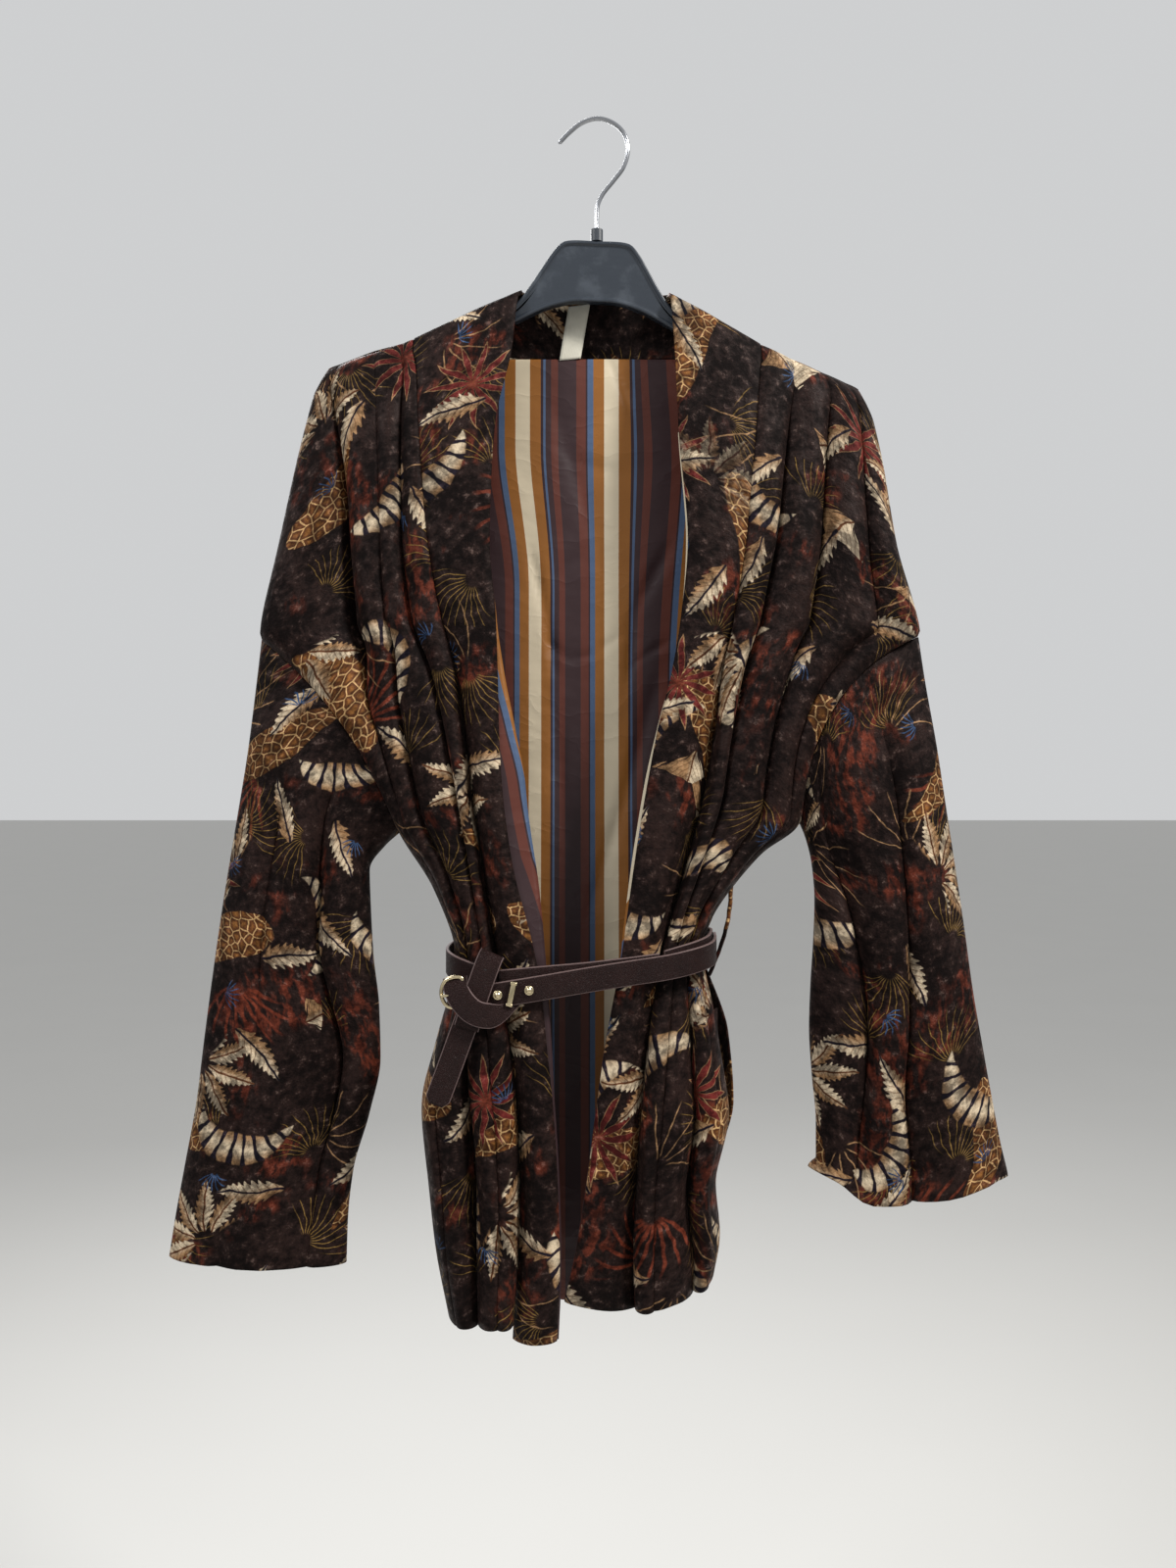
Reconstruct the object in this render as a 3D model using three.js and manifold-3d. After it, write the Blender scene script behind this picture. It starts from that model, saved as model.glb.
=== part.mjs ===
// Kimono robe on a hanger: a velvet robe with drop shoulders, a wide collar band, a striped
// lining, a knotted leather belt and the plastic hanger that carries it.
// Millimetres, +Z up. The front faces -Y, and the wearer's right side is at -X.
// The origin is the inner top of the hanger's hook, the point that hangs on a peg.
import * as THREE from 'three';
import { mergeVertices } from 'three/addons/utils/BufferGeometryUtils.js';
import Module from 'manifold-3d';

const wasm = await Module();
wasm.setup();

// Driving sizes
const VELVET = 1.6;          // wall of the velvet panels
const BAND = 2.6;            // wall of the doubled collar band
const LINING = 1.0;          // wall of the satin lining
const TAPE = 1.0;            // wall of the neck tape
const CLEAR = 0.4;           // gap between pieces that lie on each other
const STAND = { front: 1.3, band: 1.7, armhole: 1.6, sleeve: 0.015 }; // how far edges stand off a seam
const EDGE = 0.5;            // half the gap between front and back along shoulder and side
const ROLL = 15;             // distance over which a panel turns round a side seam
const FRONT_ROLL = 15;       // radius of the cloth over the shoulder, in front of the hanger
const BACK_ROLL = 18;        // and behind it
const PUFF = 0.05;           // how much a pleat swells, as a share of its width
const PINCH = 3;             // sharpness of the valley between two pleats
const LIP = 0.24;            // how far a pleat's side leans over its valley, as a share of depth
const BELT = { wide: 17.5, thick: 2.4 };
const HOOK_WIRE = 3.2;
const HANGER = { thick: 7, rim: 2.2, recess: 1, tilt: -2.3, top: -90 };

// Levels of the body, from the shoulder down. Each panel's tables have a row for each level.
const LEVEL = { crest: 0, shoulder: 3, notch: 6, underarm: 9, hem: 17 };

const vec = (x, y, z) => new THREE.Vector3(x, y, z);
const { lerp, clamp, smoothstep, degToRad } = THREE.MathUtils;

function table(columns, rows) {
  return rows.map((row) => Object.fromEntries(columns.map((name, i) => [name, row[i]])));
}

// A smooth curve through equally spaced values that never overshoots them.
function along(values, t) {
  const last = values.length - 1;
  const i = clamp(Math.floor(t), 0, last - 1);
  const f = clamp(t - i, 0, 1);
  const rise = (k) => values[k + 1] - values[k];
  const slope = (k) => {
    if (k === 0) return rise(0);
    if (k === last) return rise(last - 1);
    const before = rise(k - 1);
    const after = rise(k);
    return before * after <= 0 ? 0 : (2 * before * after) / (before + after);
  };
  const f2 = f * f;
  const f3 = f2 * f;
  return values[i] * (2 * f3 - 3 * f2 + 1) + slope(i) * (f3 - 2 * f2 + f)
    + values[i + 1] * (3 * f2 - 2 * f3) + slope(i + 1) * (f3 - f2);
}

const read = (rows, name, t) => along(rows.map((row) => row[name]), t);

// The armholes, and the sleeves that hang from them. A row for each ring of the sleeve:
// out is its outer fold, in its inner fold, bow how much of the armhole's bend is left,
// front and back how far the ring stands out each way.
const RING = ['outX', 'outZ', 'inX', 'inZ', 'bow', 'front', 'back'];
const SLEEVE_RIGHT = {
  bend: { x: -172, z: -436 },
  rings: table(RING, [
    [-246, -382, -145, -523, 1, 22, 20],
    [-250, -416, -157, -534, 0.66, 23, 22],
    [-256, -464, -168, -552, 0.36, 24, 24],
    [-264, -514, -167, -582, 0.16, 25, 25],
    [-273, -568, -165, -616, 0.05, 25, 26],
    [-281, -622, -161, -652, 0, 24, 27],
    [-288, -674, -160, -690, 0, 23, 27],
    [-294, -722, -168, -730, 0, 22, 25],
    [-302, -766, -180, -772, 0, 22, 23],
    [-309, -804, -184, -808, 0, 21, 22],
    [-314, -835, -185, -840, 0, 20, 21],
  ]),
  stations: [0, 2, 4, 6, 8, 10],
  frontFolds: [
    { at: [0.3, 0.32, 0.3, 0.32, 0.3, 0.3], deep: [0, 3, 4, 3, 2, 1] },
    { at: [0.6, 0.62, 0.64, 0.8, 0.82, 0.8], deep: [2, 9, 12, 14, 7, 3] },
  ],
  backFolds: [{ at: [0.55, 0.5, 0.55, 0.6, 0.5, 0.5], deep: [2, 7, 9, 8, 5, 3] }],
};
const SLEEVE_LEFT = {
  bend: { x: 150, z: -415 },
  rings: table(RING, [
    [236, -380, 149, -515, 1, 22, 20],
    [241, -413, 154, -527, 0.66, 23, 22],
    [249, -458, 159, -548, 0.36, 24, 24],
    [256, -504, 161, -574, 0.16, 25, 25],
    [263, -550, 160, -604, 0.05, 26, 26],
    [270, -597, 158, -636, 0, 26, 26],
    [276, -640, 157, -668, 0, 26, 26],
    [283, -680, 159, -702, 0, 26, 25],
    [290, -719, 162, -736, 0, 26, 24],
    [297, -756, 162, -764, 0, 25, 23],
    [302, -781, 156, -783, 0, 24, 22],
  ]),
  stations: [0, 2, 4, 6, 8, 10],
  frontFolds: [
    { at: [0.3, 0.32, 0.37, 0.42, 0.52, 0.5], deep: [1, 6, 8, 8, 8, 8] },
    { at: [0.72, 0.86, 0.74, 0.66, 0.76, 0.84], deep: [2, 5, 11, 13, 9, 3] },
  ],
  backFolds: [{ at: [0.55, 0.5, 0.45, 0.5, 0.55, 0.5], deep: [2, 6, 9, 9, 6, 3] }],
};

// The two fronts. A row for each level but the two that round the shoulder:
// seam is the collar seam, side the shoulder line or side seam, seamY and faceY how far the
// cloth stands forward beside the collar and near the side. The armhole's rows read the sleeve.
const FRONT = ['seamX', 'seamZ', 'sideX', 'sideZ', 'seamY', 'faceY', 'slit'];
const FRONT_RIGHT = {
  sleeve: SLEEVE_RIGHT,
  rows: overShoulder(table(FRONT, [
    [-133, -162, -197, -183, 0, 0, 0],
    [-130, -188, -207, -203, -20, -15, 0],
    [-127, -237, -217, -243, -29, -21, 0],
    [-121, -313, -232, -313, -36, -25, 0],
    [-111, -370, -246, -382, -39, -24, 0],
    [-101, -409, -202, -421, -41, -27, 0],
    [-96, -449, -169, -468, -43, -30, 0],
    [-91, -491, -145, -523, -45, -28, 0],
    [-83, -543, -119, -565, -47, -31, 0],
    [-74, -600, -104, -607, -49, -33, 0],
    [-70, -624, -104, -625, -49, -34, 0],
    [-61, -675, -117, -676, -58, -43, 0],
    [-57, -720, -127, -722, -60, -47, 0],
    [-55, -775, -122, -775, -60, -49, 0],
    [-56, -820, -117, -820, -59, -48, 0],
    [-59, -866, -108, -869, -57, -44, 0],
  ])),
  stations: [3, 5, 6, 7.5, 9, 10.5, 12, 14.5, 17],
  collarValley: [0, 3, 7, 12, 15, 15, 9, 15, 10],
  folds: [
    { at: [0.12, 0.17, 0.16, 0.16, 0.16, 0.22, 0.28, 0.2, 0.2], deep: [2, 9, 10, 9, 8, 6, 5, 3, 2] },
    { at: [0.4, 0.3, 0.29, 0.5, 0.64, 0.6, 0.6, 0.45, 0.5], deep: [1, 3, 6, 10, 9, 7, 8, 20, 9] },
    { at: [0.86, 0.52, 0.46, 0.74, 0.86, 0.84, 0.84, 0.8, 0.8], deep: [5, 14, 13, 8, 2, 3, 4, 4, 2] },
  ],
};
const FRONT_LEFT = {
  sleeve: SLEEVE_LEFT,
  rows: overShoulder(table(FRONT, [
    [119, -166, 192, -198, 0, 0, 0],
    [117, -195, 202, -221, -20, -15, 0],
    [113, -238, 209, -254, -29, -21, 0],
    [106, -313, 219, -315, -36, -25, 0],
    [98, -370, 236, -380, -39, -24, 0],
    [90, -409, 188, -410, -41, -27, 0],
    [85, -449, 159, -455, -43, -30, 0],
    [78, -491, 149, -515, -45, -28, 0],
    [67, -536, 119, -540, -47, -31, 0],
    [53, -584, 84, -586, -49, -33, 0],
    [46, -608, 76.5, -610, -49, -34, 0],
    [36, -670, 96, -670, -58, -43, 9],
    [31, -722, 100, -722, -60, -47, 5],
    [28, -775, 86, -776, -60, -49, 0],
    [26, -817, 89, -813, -59, -48, 0],
    [27, -857, 85, -840, -57, -44, 0],
  ])),
  stations: [3, 5, 6, 7.5, 9, 10.5, 12, 14.5, 17],
  collarValley: [0, 3, 7, 12, 15, 15, 9, 16, 12],
  folds: [
    { at: [0.3, 0.2, 0.14, 0.15, 0.16, 0.2, 0.28, 0.2, 0.2], deep: [2, 10, 12, 11, 9, 7, 5, 3, 2] },
    { at: [0.62, 0.5, 0.4, 0.54, 0.58, 0.58, 0.58, 0.6, 0.7], deep: [3, 12, 12, 10, 9, 7, 8, 18, 9] },
    { at: [0.87, 0.8, 0.76, 0.8, 0.85, 0.84, 0.84, 0.86, 0.88], deep: [3, 6, 6, 6, 3, 3, 4, 3, 2] },
  ],
};

// The free edge of the collar band, a row for each level, and how far the front's lining
// looks out past it.
const FREE_EDGE = ['x', 'y', 'z', 'show'];
const BAND_RIGHT = {
  front: FRONT_RIGHT,
  drop: 12,
  edge: table(FREE_EDGE, [
    [-55, 0, -126, 0],
    [-57, -7, -130, 0],
    [-59, -12, -140, 0],
    [-62, -19, -174, 0],
    [-74, -28, -235, 0],
    [-77, -34, -313, 0],
    [-72.5, -37, -368, 1],
    [-71, -39, -408, 5],
    [-70, -41, -449, 12],
    [-67.5, -43, -491, 17],
    [-60.5, -45, -543, 17],
    [-46, -48, -600, 9],
    [-41, -49, -624, 6],
    [-35.5, -52, -675, 4],
    [-31, -53, -720, 2],
    [-28, -53, -775, 2],
    [-27, -51, -820, 2],
    [-29, -48, -864, 2],
  ]),
};
const BAND_LEFT = {
  front: FRONT_LEFT,
  drop: 0,
  edge: table(FREE_EDGE, [
    [53, 0, -128, 0],
    [54, -7, -132, 0],
    [55, -12, -143, 0],
    [57, -19, -178, 0],
    [59, -28, -237, 1],
    [65, -34, -313, 2],
    [60, -37, -370, 3],
    [53.5, -39, -409, 3],
    [43.5, -41, -449, 4],
    [35.5, -43, -491, 4],
    [28, -45, -536, 4],
    [20.5, -48, -588, 2],
    [16.5, -49, -616, 1],
    [6, -52, -672, 1],
    [-1, -53, -722, 1],
    [-8, -53, -775, 1],
    [-15, -51, -817, 1],
    [-22, -48, -849, 1],
  ]),
};
const BAND_CROWN = 1.5;

// The back, a row for each level from the shoulder line: how far it stands behind the hanger,
// and the lining's left and right edge and depth inside it.
const BACK = {
  rows: table(['face', 'liningRight', 'liningLeft', 'liningY'], [
    [22, -88, 80, 16.5],
    [22, -88, 80, 15.5],
    [22, -90, 82, 14.5],
    [23, -104, 96, 14],
    [25, -128, 116, 14],
    [27, -148, 134, 13],
    [28, -154, 140, 12],
    [28, -146, 136, 12],
    [28, -136, 130, 12],
    [27, -122, 124, 11],
    [23, -102, 98, 9],
    [19.5, -88, 66, 6],
    [19, -88, 60, 5],
    [27, -98, 76, 9],
    [31, -106, 80, 11],
    [33, -103, 70, 13],
    [33, -99, 70, 13],
    [31, -90, 66, 13],
  ]),
  stations: [3, 5, 7.5, 9, 12, 14.5, 17],
  folds: [
    { at: [0.12, 0.12, 0.11, 0.12, 0.13, 0.12, 0.12], deep: [2, 6, 7, 6, 4, 5, 3] },
    { at: [0.26, 0.25, 0.25, 0.25, 0.27, 0.27, 0.28], deep: [2, 5, 7, 7, 5, 9, 6] },
    { at: [0.4, 0.4, 0.4, 0.41, 0.42, 0.41, 0.43], deep: [0, 2, 4, 5, 5, 8, 5] },
    { at: [0.57, 0.58, 0.57, 0.56, 0.55, 0.57, 0.56], deep: [0, 2, 4, 6, 5, 9, 6] },
    { at: [0.73, 0.74, 0.74, 0.74, 0.71, 0.72, 0.71], deep: [2, 5, 7, 7, 5, 8, 5] },
    { at: [0.88, 0.88, 0.89, 0.88, 0.87, 0.87, 0.88], deep: [2, 6, 7, 6, 4, 5, 3] },
  ],
};

// The shoulder line and back neck seam, from shoulder to shoulder, where the back begins,
// and the top edge of the band behind the neck.
const SHOULDER_LINE = table(['x', 'y', 'z'], [
  [-197, EDGE, -183],
  [-165, EDGE, -170.5],
  [-133, EDGE, -162],
  [-127, 9, -161.5],
  [-106, 17, -164.5],
  [-52, 23, -168],
  [0, 24, -169],
  [50, 23, -168.5],
  [92, 17, -167.5],
  [111, 9, -166.5],
  [119, EDGE, -166],
  [158, EDGE, -182.5],
  [192, EDGE, -198],
]);
const NECK_SEAM = SHOULDER_LINE.slice(2, 11);
const NECK_EDGE = table(['x', 'y', 'z'], [
  [-55, EDGE, -126],
  [-54, 9, -124],
  [-45, 14.5, -122],
  [-22, 18.5, -121],
  [0, 19.5, -121],
  [22, 18.5, -121.5],
  [43, 14.5, -123],
  [52, 9, -125.5],
  [53, EDGE, -128],
]);

const NECK_TAPE = { topX: -13, topZ: -129, endX: -20, endZ: -170.5, wide: 16, topY: 18, endY: 14.7 };

// Inserts the two levels that round the shoulder below the crest row.
function overShoulder(rows) {
  const [crest, next] = rows;
  const turned = [40, 78].map((angle, i) => {
    const a = degToRad(angle);
    const y = -FRONT_ROLL * Math.sin(a);
    const down = FRONT_ROLL * (1 - Math.cos(a));
    const share = (i + 1) / 3;
    return {
      ...crest,
      seamY: y,
      faceY: y,
      seamZ: crest.seamZ - down,
      sideX: lerp(crest.sideX, next.sideX, share),
      sideZ: lerp(crest.sideZ, next.sideZ, share),
    };
  });
  return [crest, ...turned, ...rows.slice(1)];
}

// Places and depths of a panel's valleys at level t, with its two edges as the outer ones.
function valleys(folds, stations, t, first = null) {
  let i = 0;
  while (i < stations.length - 2 && t > stations[i + 1]) i += 1;
  const k = i + clamp((t - stations[i]) / (stations[i + 1] - stations[i]), 0, 1);
  const fade = clamp(t / LEVEL.shoulder, 0, 1);
  return {
    at: [0, ...folds.map((fold) => along(fold.at, k)), 1],
    deep: [first ? along(first, k) * fade : 0, ...folds.map((fold) => along(fold.deep, k) * fade), 0],
  };
}

// Depth and sideways lean of the cloth at place u across a panel of the given width.
function pleat({ at, deep }, u, wide) {
  let i = 0;
  while (i < at.length - 2 && u > at[i + 1]) i += 1;
  const span = at[i + 1] - at[i];
  const s = clamp((u - at[i]) / span, 0, 1);
  const lean = (q) => 6.75 * q * (1 - q) ** 2;
  const most = 0.16 * span * wide;
  const left = Math.min(LIP * deep[i], most);
  const right = Math.min(LIP * deep[i + 1], most);
  return {
    depth: deep[i] * (1 - s) ** PINCH + deep[i + 1] * s ** PINCH - PUFF * span * wide * 4 * s * (1 - s),
    lean: right * lean(1 - s) - left * lean(s),
  };
}

// How far round its side seam a panel is at a distance from it, from 0 to 1.
const turn = (distance) => Math.sqrt(1 - (1 - clamp(distance / ROLL, 0, 1)) ** 2);

// A point of a sleeve's ring t, at share s from the outer to the inner fold; way is -1 in front.
function sleevePoint(sleeve, t, s, way) {
  const ring = (name) => read(sleeve.rings, name, t);
  const [outX, outZ, inX, inZ] = ['outX', 'outZ', 'inX', 'inZ'].map(ring);
  const top = sleeve.rings[0];
  const bow = ring('bow');
  const bendX = (outX + inX) / 2 + bow * (sleeve.bend.x - (top.outX + top.inX) / 2);
  const bendZ = (outZ + inZ) / 2 + bow * (sleeve.bend.z - (top.outZ + top.inZ) / 2);
  const curve = (a, b, c) => (1 - s) ** 2 * a + 2 * s * (1 - s) * b + s * s * c;
  const wide = Math.hypot(outX - inX, outZ - inZ);
  const folds = way < 0 ? sleeve.frontFolds : sleeve.backFolds;
  const fold = pleat(sleeveValleys(sleeve, folds, t), s, wide);
  const full = Math.sin(Math.PI * s) ** 0.55;
  const deep = (way < 0 ? ring('front') : ring('back')) * full - fold.depth * full;
  const share = fold.lean / wide;
  return vec(curve(outX, bendX, inX) + (inX - outX) * share, way * deep, curve(outZ, bendZ, inZ));
}

function sleeveValleys(sleeve, folds, t) {
  const { at, deep } = valleys(folds, sleeve.stations, t);
  const fade = clamp(t, 0, 1);
  return { at, deep: deep.map((d) => d * fade) };
}

// The outer edge of a front at level t: shoulder line, armhole seam, then side seam.
function sidePoint(front, t, way) {
  const { notch, underarm } = LEVEL;
  if (t >= notch && t <= underarm) {
    return sleevePoint(front.sleeve, 0, (t - notch) / (underarm - notch), way);
  }
  return vec(read(front.rows, 'sideX', t), 0, read(front.rows, 'sideZ', t));
}

// A front's middle surface at level t, share u from the collar seam to the side, which may
// stand back by a share of the width.
function frontPoint(front, t, u, inset = 0) {
  const seamX = read(front.rows, 'seamX', t);
  const seamZ = read(front.rows, 'seamZ', t);
  const slit = read(front.rows, 'slit', t);
  const side = sidePoint(front, t, -1);
  side.x -= slit;
  side.y -= 1.5 * slit;
  const wide = Math.abs(side.x - seamX);
  const fold = pleat(valleys(front.folds, front.stations, t, front.collarValley), u, wide);
  const round = turn(wide * (1 - u));
  const face = lerp(read(front.rows, 'seamY', t), read(front.rows, 'faceY', t), u);
  const y = side.y + (face + fold.depth - side.y) * round;
  const x = lerp(seamX, side.x, (u + fold.lean / wide) * (1 - inset));
  return vec(x, Math.min(y, -EDGE), lerp(seamZ, side.z, u * (1 - inset)));
}

// The collar band's middle surface at level t, share w from its free edge to the collar seam.
function bandPoint(band, t, w) {
  const rows = band.front.rows;
  const valley = valleys([], band.front.stations, t, band.front.collarValley).deep[0];
  const drop = band.drop * clamp(t - (LEVEL.hem - 1), 0, 1);
  const crown = BAND_CROWN * clamp(t, 0, 1) * 4 * w * (1 - w);
  const y = lerp(read(band.edge, 'y', t), read(rows, 'seamY', t), w) - crown + valley * w ** PINCH;
  return vec(
    lerp(read(band.edge, 'x', t), read(rows, 'seamX', t), w),
    Math.min(y, -EDGE),
    lerp(read(band.edge, 'z', t), read(rows, 'seamZ', t), w) - drop,
  );
}

// The back's middle surface at level t, share u from the wearer's right side to the left.
function backPoint(t, u, inset = 0) {
  const right = sidePoint(FRONT_RIGHT, t, 1);
  const left = sidePoint(FRONT_LEFT, t, 1);
  const wide = left.x - right.x;
  const fold = pleat(valleys(BACK.folds, BACK.stations, t), u, wide);
  const round = turn(wide * Math.min(u, 1 - u));
  const edge = lerp(right.y, left.y, u);
  const face = read(BACK.rows, 'face', t);
  const flat = vec(
    lerp(right.x, left.x, lerp(inset, 1 - inset, u + fold.lean / wide)),
    Math.max(edge + (face - fold.depth - edge) * round, EDGE),
    lerp(right.z, left.z, lerp(inset, 1 - inset, u)),
  );
  if (t >= LEVEL.shoulder) return flat;
  const start = shoulderPoint(lerp(SHOULDER_LINE[0].x, SHOULDER_LINE.at(-1).x, u));
  const angle = degToRad(along([0, 40, 78, 90], t));
  const neck = 1 - smoothstep(Math.abs(start.x + 7), 92, 126);
  const shoulder = vec(start.x, BACK_ROLL * Math.sin(angle), start.z - BACK_ROLL * (1 - Math.cos(angle)));
  const below = vec(start.x, start.y, start.z - along([0, 4, 12, 22], t));
  const made = shoulder.lerp(below, neck);
  const settle = Math.max(clamp((t - 1) / 2, 0, 1) ** 2, (1 - round) * clamp(t, 0, 1));
  const least = EDGE + 0.6 * (1 - round);
  return vec(lerp(made.x, flat.x, settle), Math.max(lerp(made.y, flat.y, settle), least), lerp(made.z, flat.z, settle));
}

// The shoulder line at a place across the body.
function shoulderPoint(x) {
  let i = 0;
  while (i < SHOULDER_LINE.length - 2 && x > SHOULDER_LINE[i + 1].x) i += 1;
  const a = SHOULDER_LINE[i];
  const b = SHOULDER_LINE[i + 1];
  const s = clamp((x - a.x) / (b.x - a.x), 0, 1);
  return vec(x, lerp(a.y, b.y, s), lerp(a.z, b.z, s));
}

// The band behind the neck: share k from the wearer's right shoulder to the left, w down to its seam.
function neckPoint(k, w) {
  const t = k * (NECK_SEAM.length - 1);
  const [x, y, z] = ['x', 'y', 'z'].map((name) => lerp(read(NECK_EDGE, name, t), read(NECK_SEAM, name, t), w));
  return vec(x, y + 1.5 * Math.sin(Math.PI * w) * Math.sin(Math.PI * k), z + 2 * Math.sin(Math.PI * w) * (1 - Math.sin(Math.PI * k)));
}

function liningBackPoint(t, u) {
  const x = lerp(read(BACK.rows, 'liningRight', t), read(BACK.rows, 'liningLeft', t), u);
  const fullness = clamp(t / 5, 0.2, 1);
  const wave = fullness * (1.6 * Math.sin(9 * u + 0.2 * t) + 1.0 * Math.sin(17 * u - 0.15 * t + 1));
  return vec(x, read(BACK.rows, 'liningY', t) + wave, backPoint(t, 0.5).z + 1 - 2.2 * clamp(1 - t, 0, 1));
}

// The lining of a front, from where it looks out past the band (w = 0) to under the band.
function liningFrontPoint(band, t, w) {
  const tuck = 24;
  const edge = bandPoint(band, t, 0);
  const across = Math.sign(read(band.front.rows, 'seamX', t) - edge.x);
  const show = read(band.edge, 'show', t);
  const beyond = lerp(show, -tuck, w);
  const wide = Math.abs(read(band.front.rows, 'seamX', t) - edge.x);
  const under = BAND / 2 + LINING / 2 + CLEAR + 1;
  if (beyond > 0) return vec(edge.x - across * beyond, edge.y + under + 0.2 * beyond, edge.z);
  const on = bandPoint(band, t, clamp(-beyond / wide, 0, 0.8));
  return vec(on.x, on.y + under, on.z);
}

// A closed wall round a grid of middle points. loop joins its last column to its first.
function wall(grid, thick, loop = false) {
  const rows = grid.length;
  const cols = grid[0].length;
  const sides = [[], []];
  for (let j = 0; j < rows; j += 1) {
    for (let i = 0; i < cols; i += 1) {
      const before = loop ? (i + cols - 1) % cols : Math.max(i - 1, 0);
      const after = loop ? (i + 1) % cols : Math.min(i + 1, cols - 1);
      const across = grid[j][after].clone().sub(grid[j][before]);
      const down = grid[Math.min(j + 1, rows - 1)][i].clone().sub(grid[Math.max(j - 1, 0)][i]);
      const out = across.cross(down).normalize().multiplyScalar(thick / 2);
      sides[0].push(grid[j][i].clone().add(out));
      sides[1].push(grid[j][i].clone().sub(out));
    }
  }
  const count = rows * cols;
  const faces = [];
  const quad = (a, b, c, d) => faces.push(a, b, c, a, c, d);
  const spans = loop ? cols : cols - 1;
  for (let j = 0; j < rows - 1; j += 1) {
    for (let i = 0; i < spans; i += 1) {
      const a = j * cols + i;
      const b = j * cols + (i + 1) % cols;
      const c = b + cols;
      const d = a + cols;
      quad(a, d, c, b);
      quad(a + count, b + count, c + count, d + count);
    }
  }
  for (let i = 0; i < spans; i += 1) {
    const next = (i + 1) % cols;
    const end = (rows - 1) * cols;
    quad(i, next, next + count, i + count);
    quad(end + next, end + i, end + i + count, end + next + count);
  }
  for (let j = 0; !loop && j < rows - 1; j += 1) {
    const a = j * cols;
    const b = a + cols - 1;
    quad(a + cols, a, a + count, a + cols + count);
    quad(b, b + cols, b + cols + count, b + count);
  }
  return facingOut(sides.flat(), faces);
}

// Geometry from points and faces, turned so that the faces point outwards.
function facingOut(points, faces) {
  let volume = 0;
  for (let i = 0; i < faces.length; i += 3) {
    const [a, b, c] = [points[faces[i]], points[faces[i + 1]], points[faces[i + 2]]];
    volume += a.dot(b.clone().cross(c));
  }
  const turned = [];
  for (let i = 0; i < faces.length; i += 3) {
    turned.push(faces[i], ...(volume > 0 ? [faces[i + 1], faces[i + 2]] : [faces[i + 2], faces[i + 1]]));
  }
  const geometry = new THREE.BufferGeometry().setFromPoints(points);
  geometry.setIndex(turned);
  geometry.computeVertexNormals();
  return geometry;
}

// Column places between valleys: the same count in each pleat, closer beside the valleys.
const PLEAT_STEPS = [0, 0.2, 0.5, 0.8];
function columns(at, steps = PLEAT_STEPS) {
  const places = [];
  for (let i = 0; i < at.length - 1; i += 1) {
    steps.forEach((s) => places.push(lerp(at[i], at[i + 1], s)));
  }
  return [...places, 1];
}

// Levels of a panel's rows: whole ones, with halves between them along the armhole.
function levels(from, to) {
  const whole = Array.from({ length: to - from + 1 }, (_, i) => from + i);
  return whole.flatMap((t) => (t >= LEVEL.notch && t < LEVEL.underarm ? [t, t + 0.5] : [t]));
}

// How far a panel's edge stands back from the armhole seam; elsewhere front and back face each other.
const sideInset = (t) => (t >= LEVEL.notch && t <= LEVEL.underarm ? STAND.armhole : 0);

function frontPanel(front) {
  return wall(levels(LEVEL.crest, LEVEL.hem).map((t) => {
    const { at } = valleys(front.folds, front.stations, t);
    const wide = Math.abs(sidePoint(front, t, -1).x - read(front.rows, 'seamX', t));
    const places = columns(at);
    places.splice(-1, 0, lerp(places.at(-2), 1, 0.7));
    return places.map((u) => frontPoint(front, t, Math.max(u, STAND.front / wide), sideInset(t) / wide));
  }), VELVET);
}

function backPanel() {
  return wall(levels(LEVEL.crest, LEVEL.hem).map((t) => {
    const { at } = valleys(BACK.folds, BACK.stations, t);
    const inset = sideInset(t) / (sidePoint(FRONT_LEFT, t, 1).x - sidePoint(FRONT_RIGHT, t, 1).x);
    const places = columns(at, [0, 0.25, 0.5, 0.75]);
    places.splice(1, 0, 0.1 * at[1]);
    places.splice(-1, 0, lerp(at.at(-2), 1, 0.93));
    return places.map((u) => backPoint(t, u, inset));
  }), VELVET);
}

function bandPanel(band) {
  return wall(levels(LEVEL.crest, LEVEL.hem).map((t) => {
    const wide = Math.abs(read(band.front.rows, 'seamX', t) - read(band.edge, 'x', t));
    return [0, 0.25, 0.55, 0.8, 1 - STAND.band / wide].map((w) => bandPoint(band, t, w));
  }), BAND);
}

function neckBand() {
  const steps = 16;
  return wall(Array.from({ length: steps + 1 }, (_, j) => {
    const k = lerp(0.004, 0.996, j / steps);
    return [0, 0.33, 0.67, 0.965].map((w) => neckPoint(k, w));
  }), BAND);
}

function sleeveTube(sleeve) {
  const steps = [0, 0.15, 0.5, 0.85];
  const rings = [STAND.sleeve, ...sleeve.rings.keys()].filter((t) => t > 0);
  return wall(rings.map((t) => {
    const [front, back] = [sleeve.frontFolds, sleeve.backFolds].map((folds) => {
      const places = columns(sleeveValleys(sleeve, folds, t).at, steps);
      return t < 1 ? places.map((_, i) => i / (places.length - 1)) : places;
    });
    return [
      ...front.slice(0, -1).map((s) => sleevePoint(sleeve, t, s, -1)),
      ...back.slice(1).reverse().map((s) => sleevePoint(sleeve, t, s, 1)),
    ];
  }), VELVET, true);
}

function liningBack() {
  return wall(levels(LEVEL.crest, LEVEL.hem).map((t) => (
    Array.from({ length: 11 }, (_, i) => liningBackPoint(t, i / 10))
  )), LINING);
}

function liningFront(band, from) {
  return wall(levels(from, LEVEL.hem).map((t) => (
    [0, 0.4, 1].map((w) => liningFrontPoint(band, t, w))
  )), LINING);
}

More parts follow.
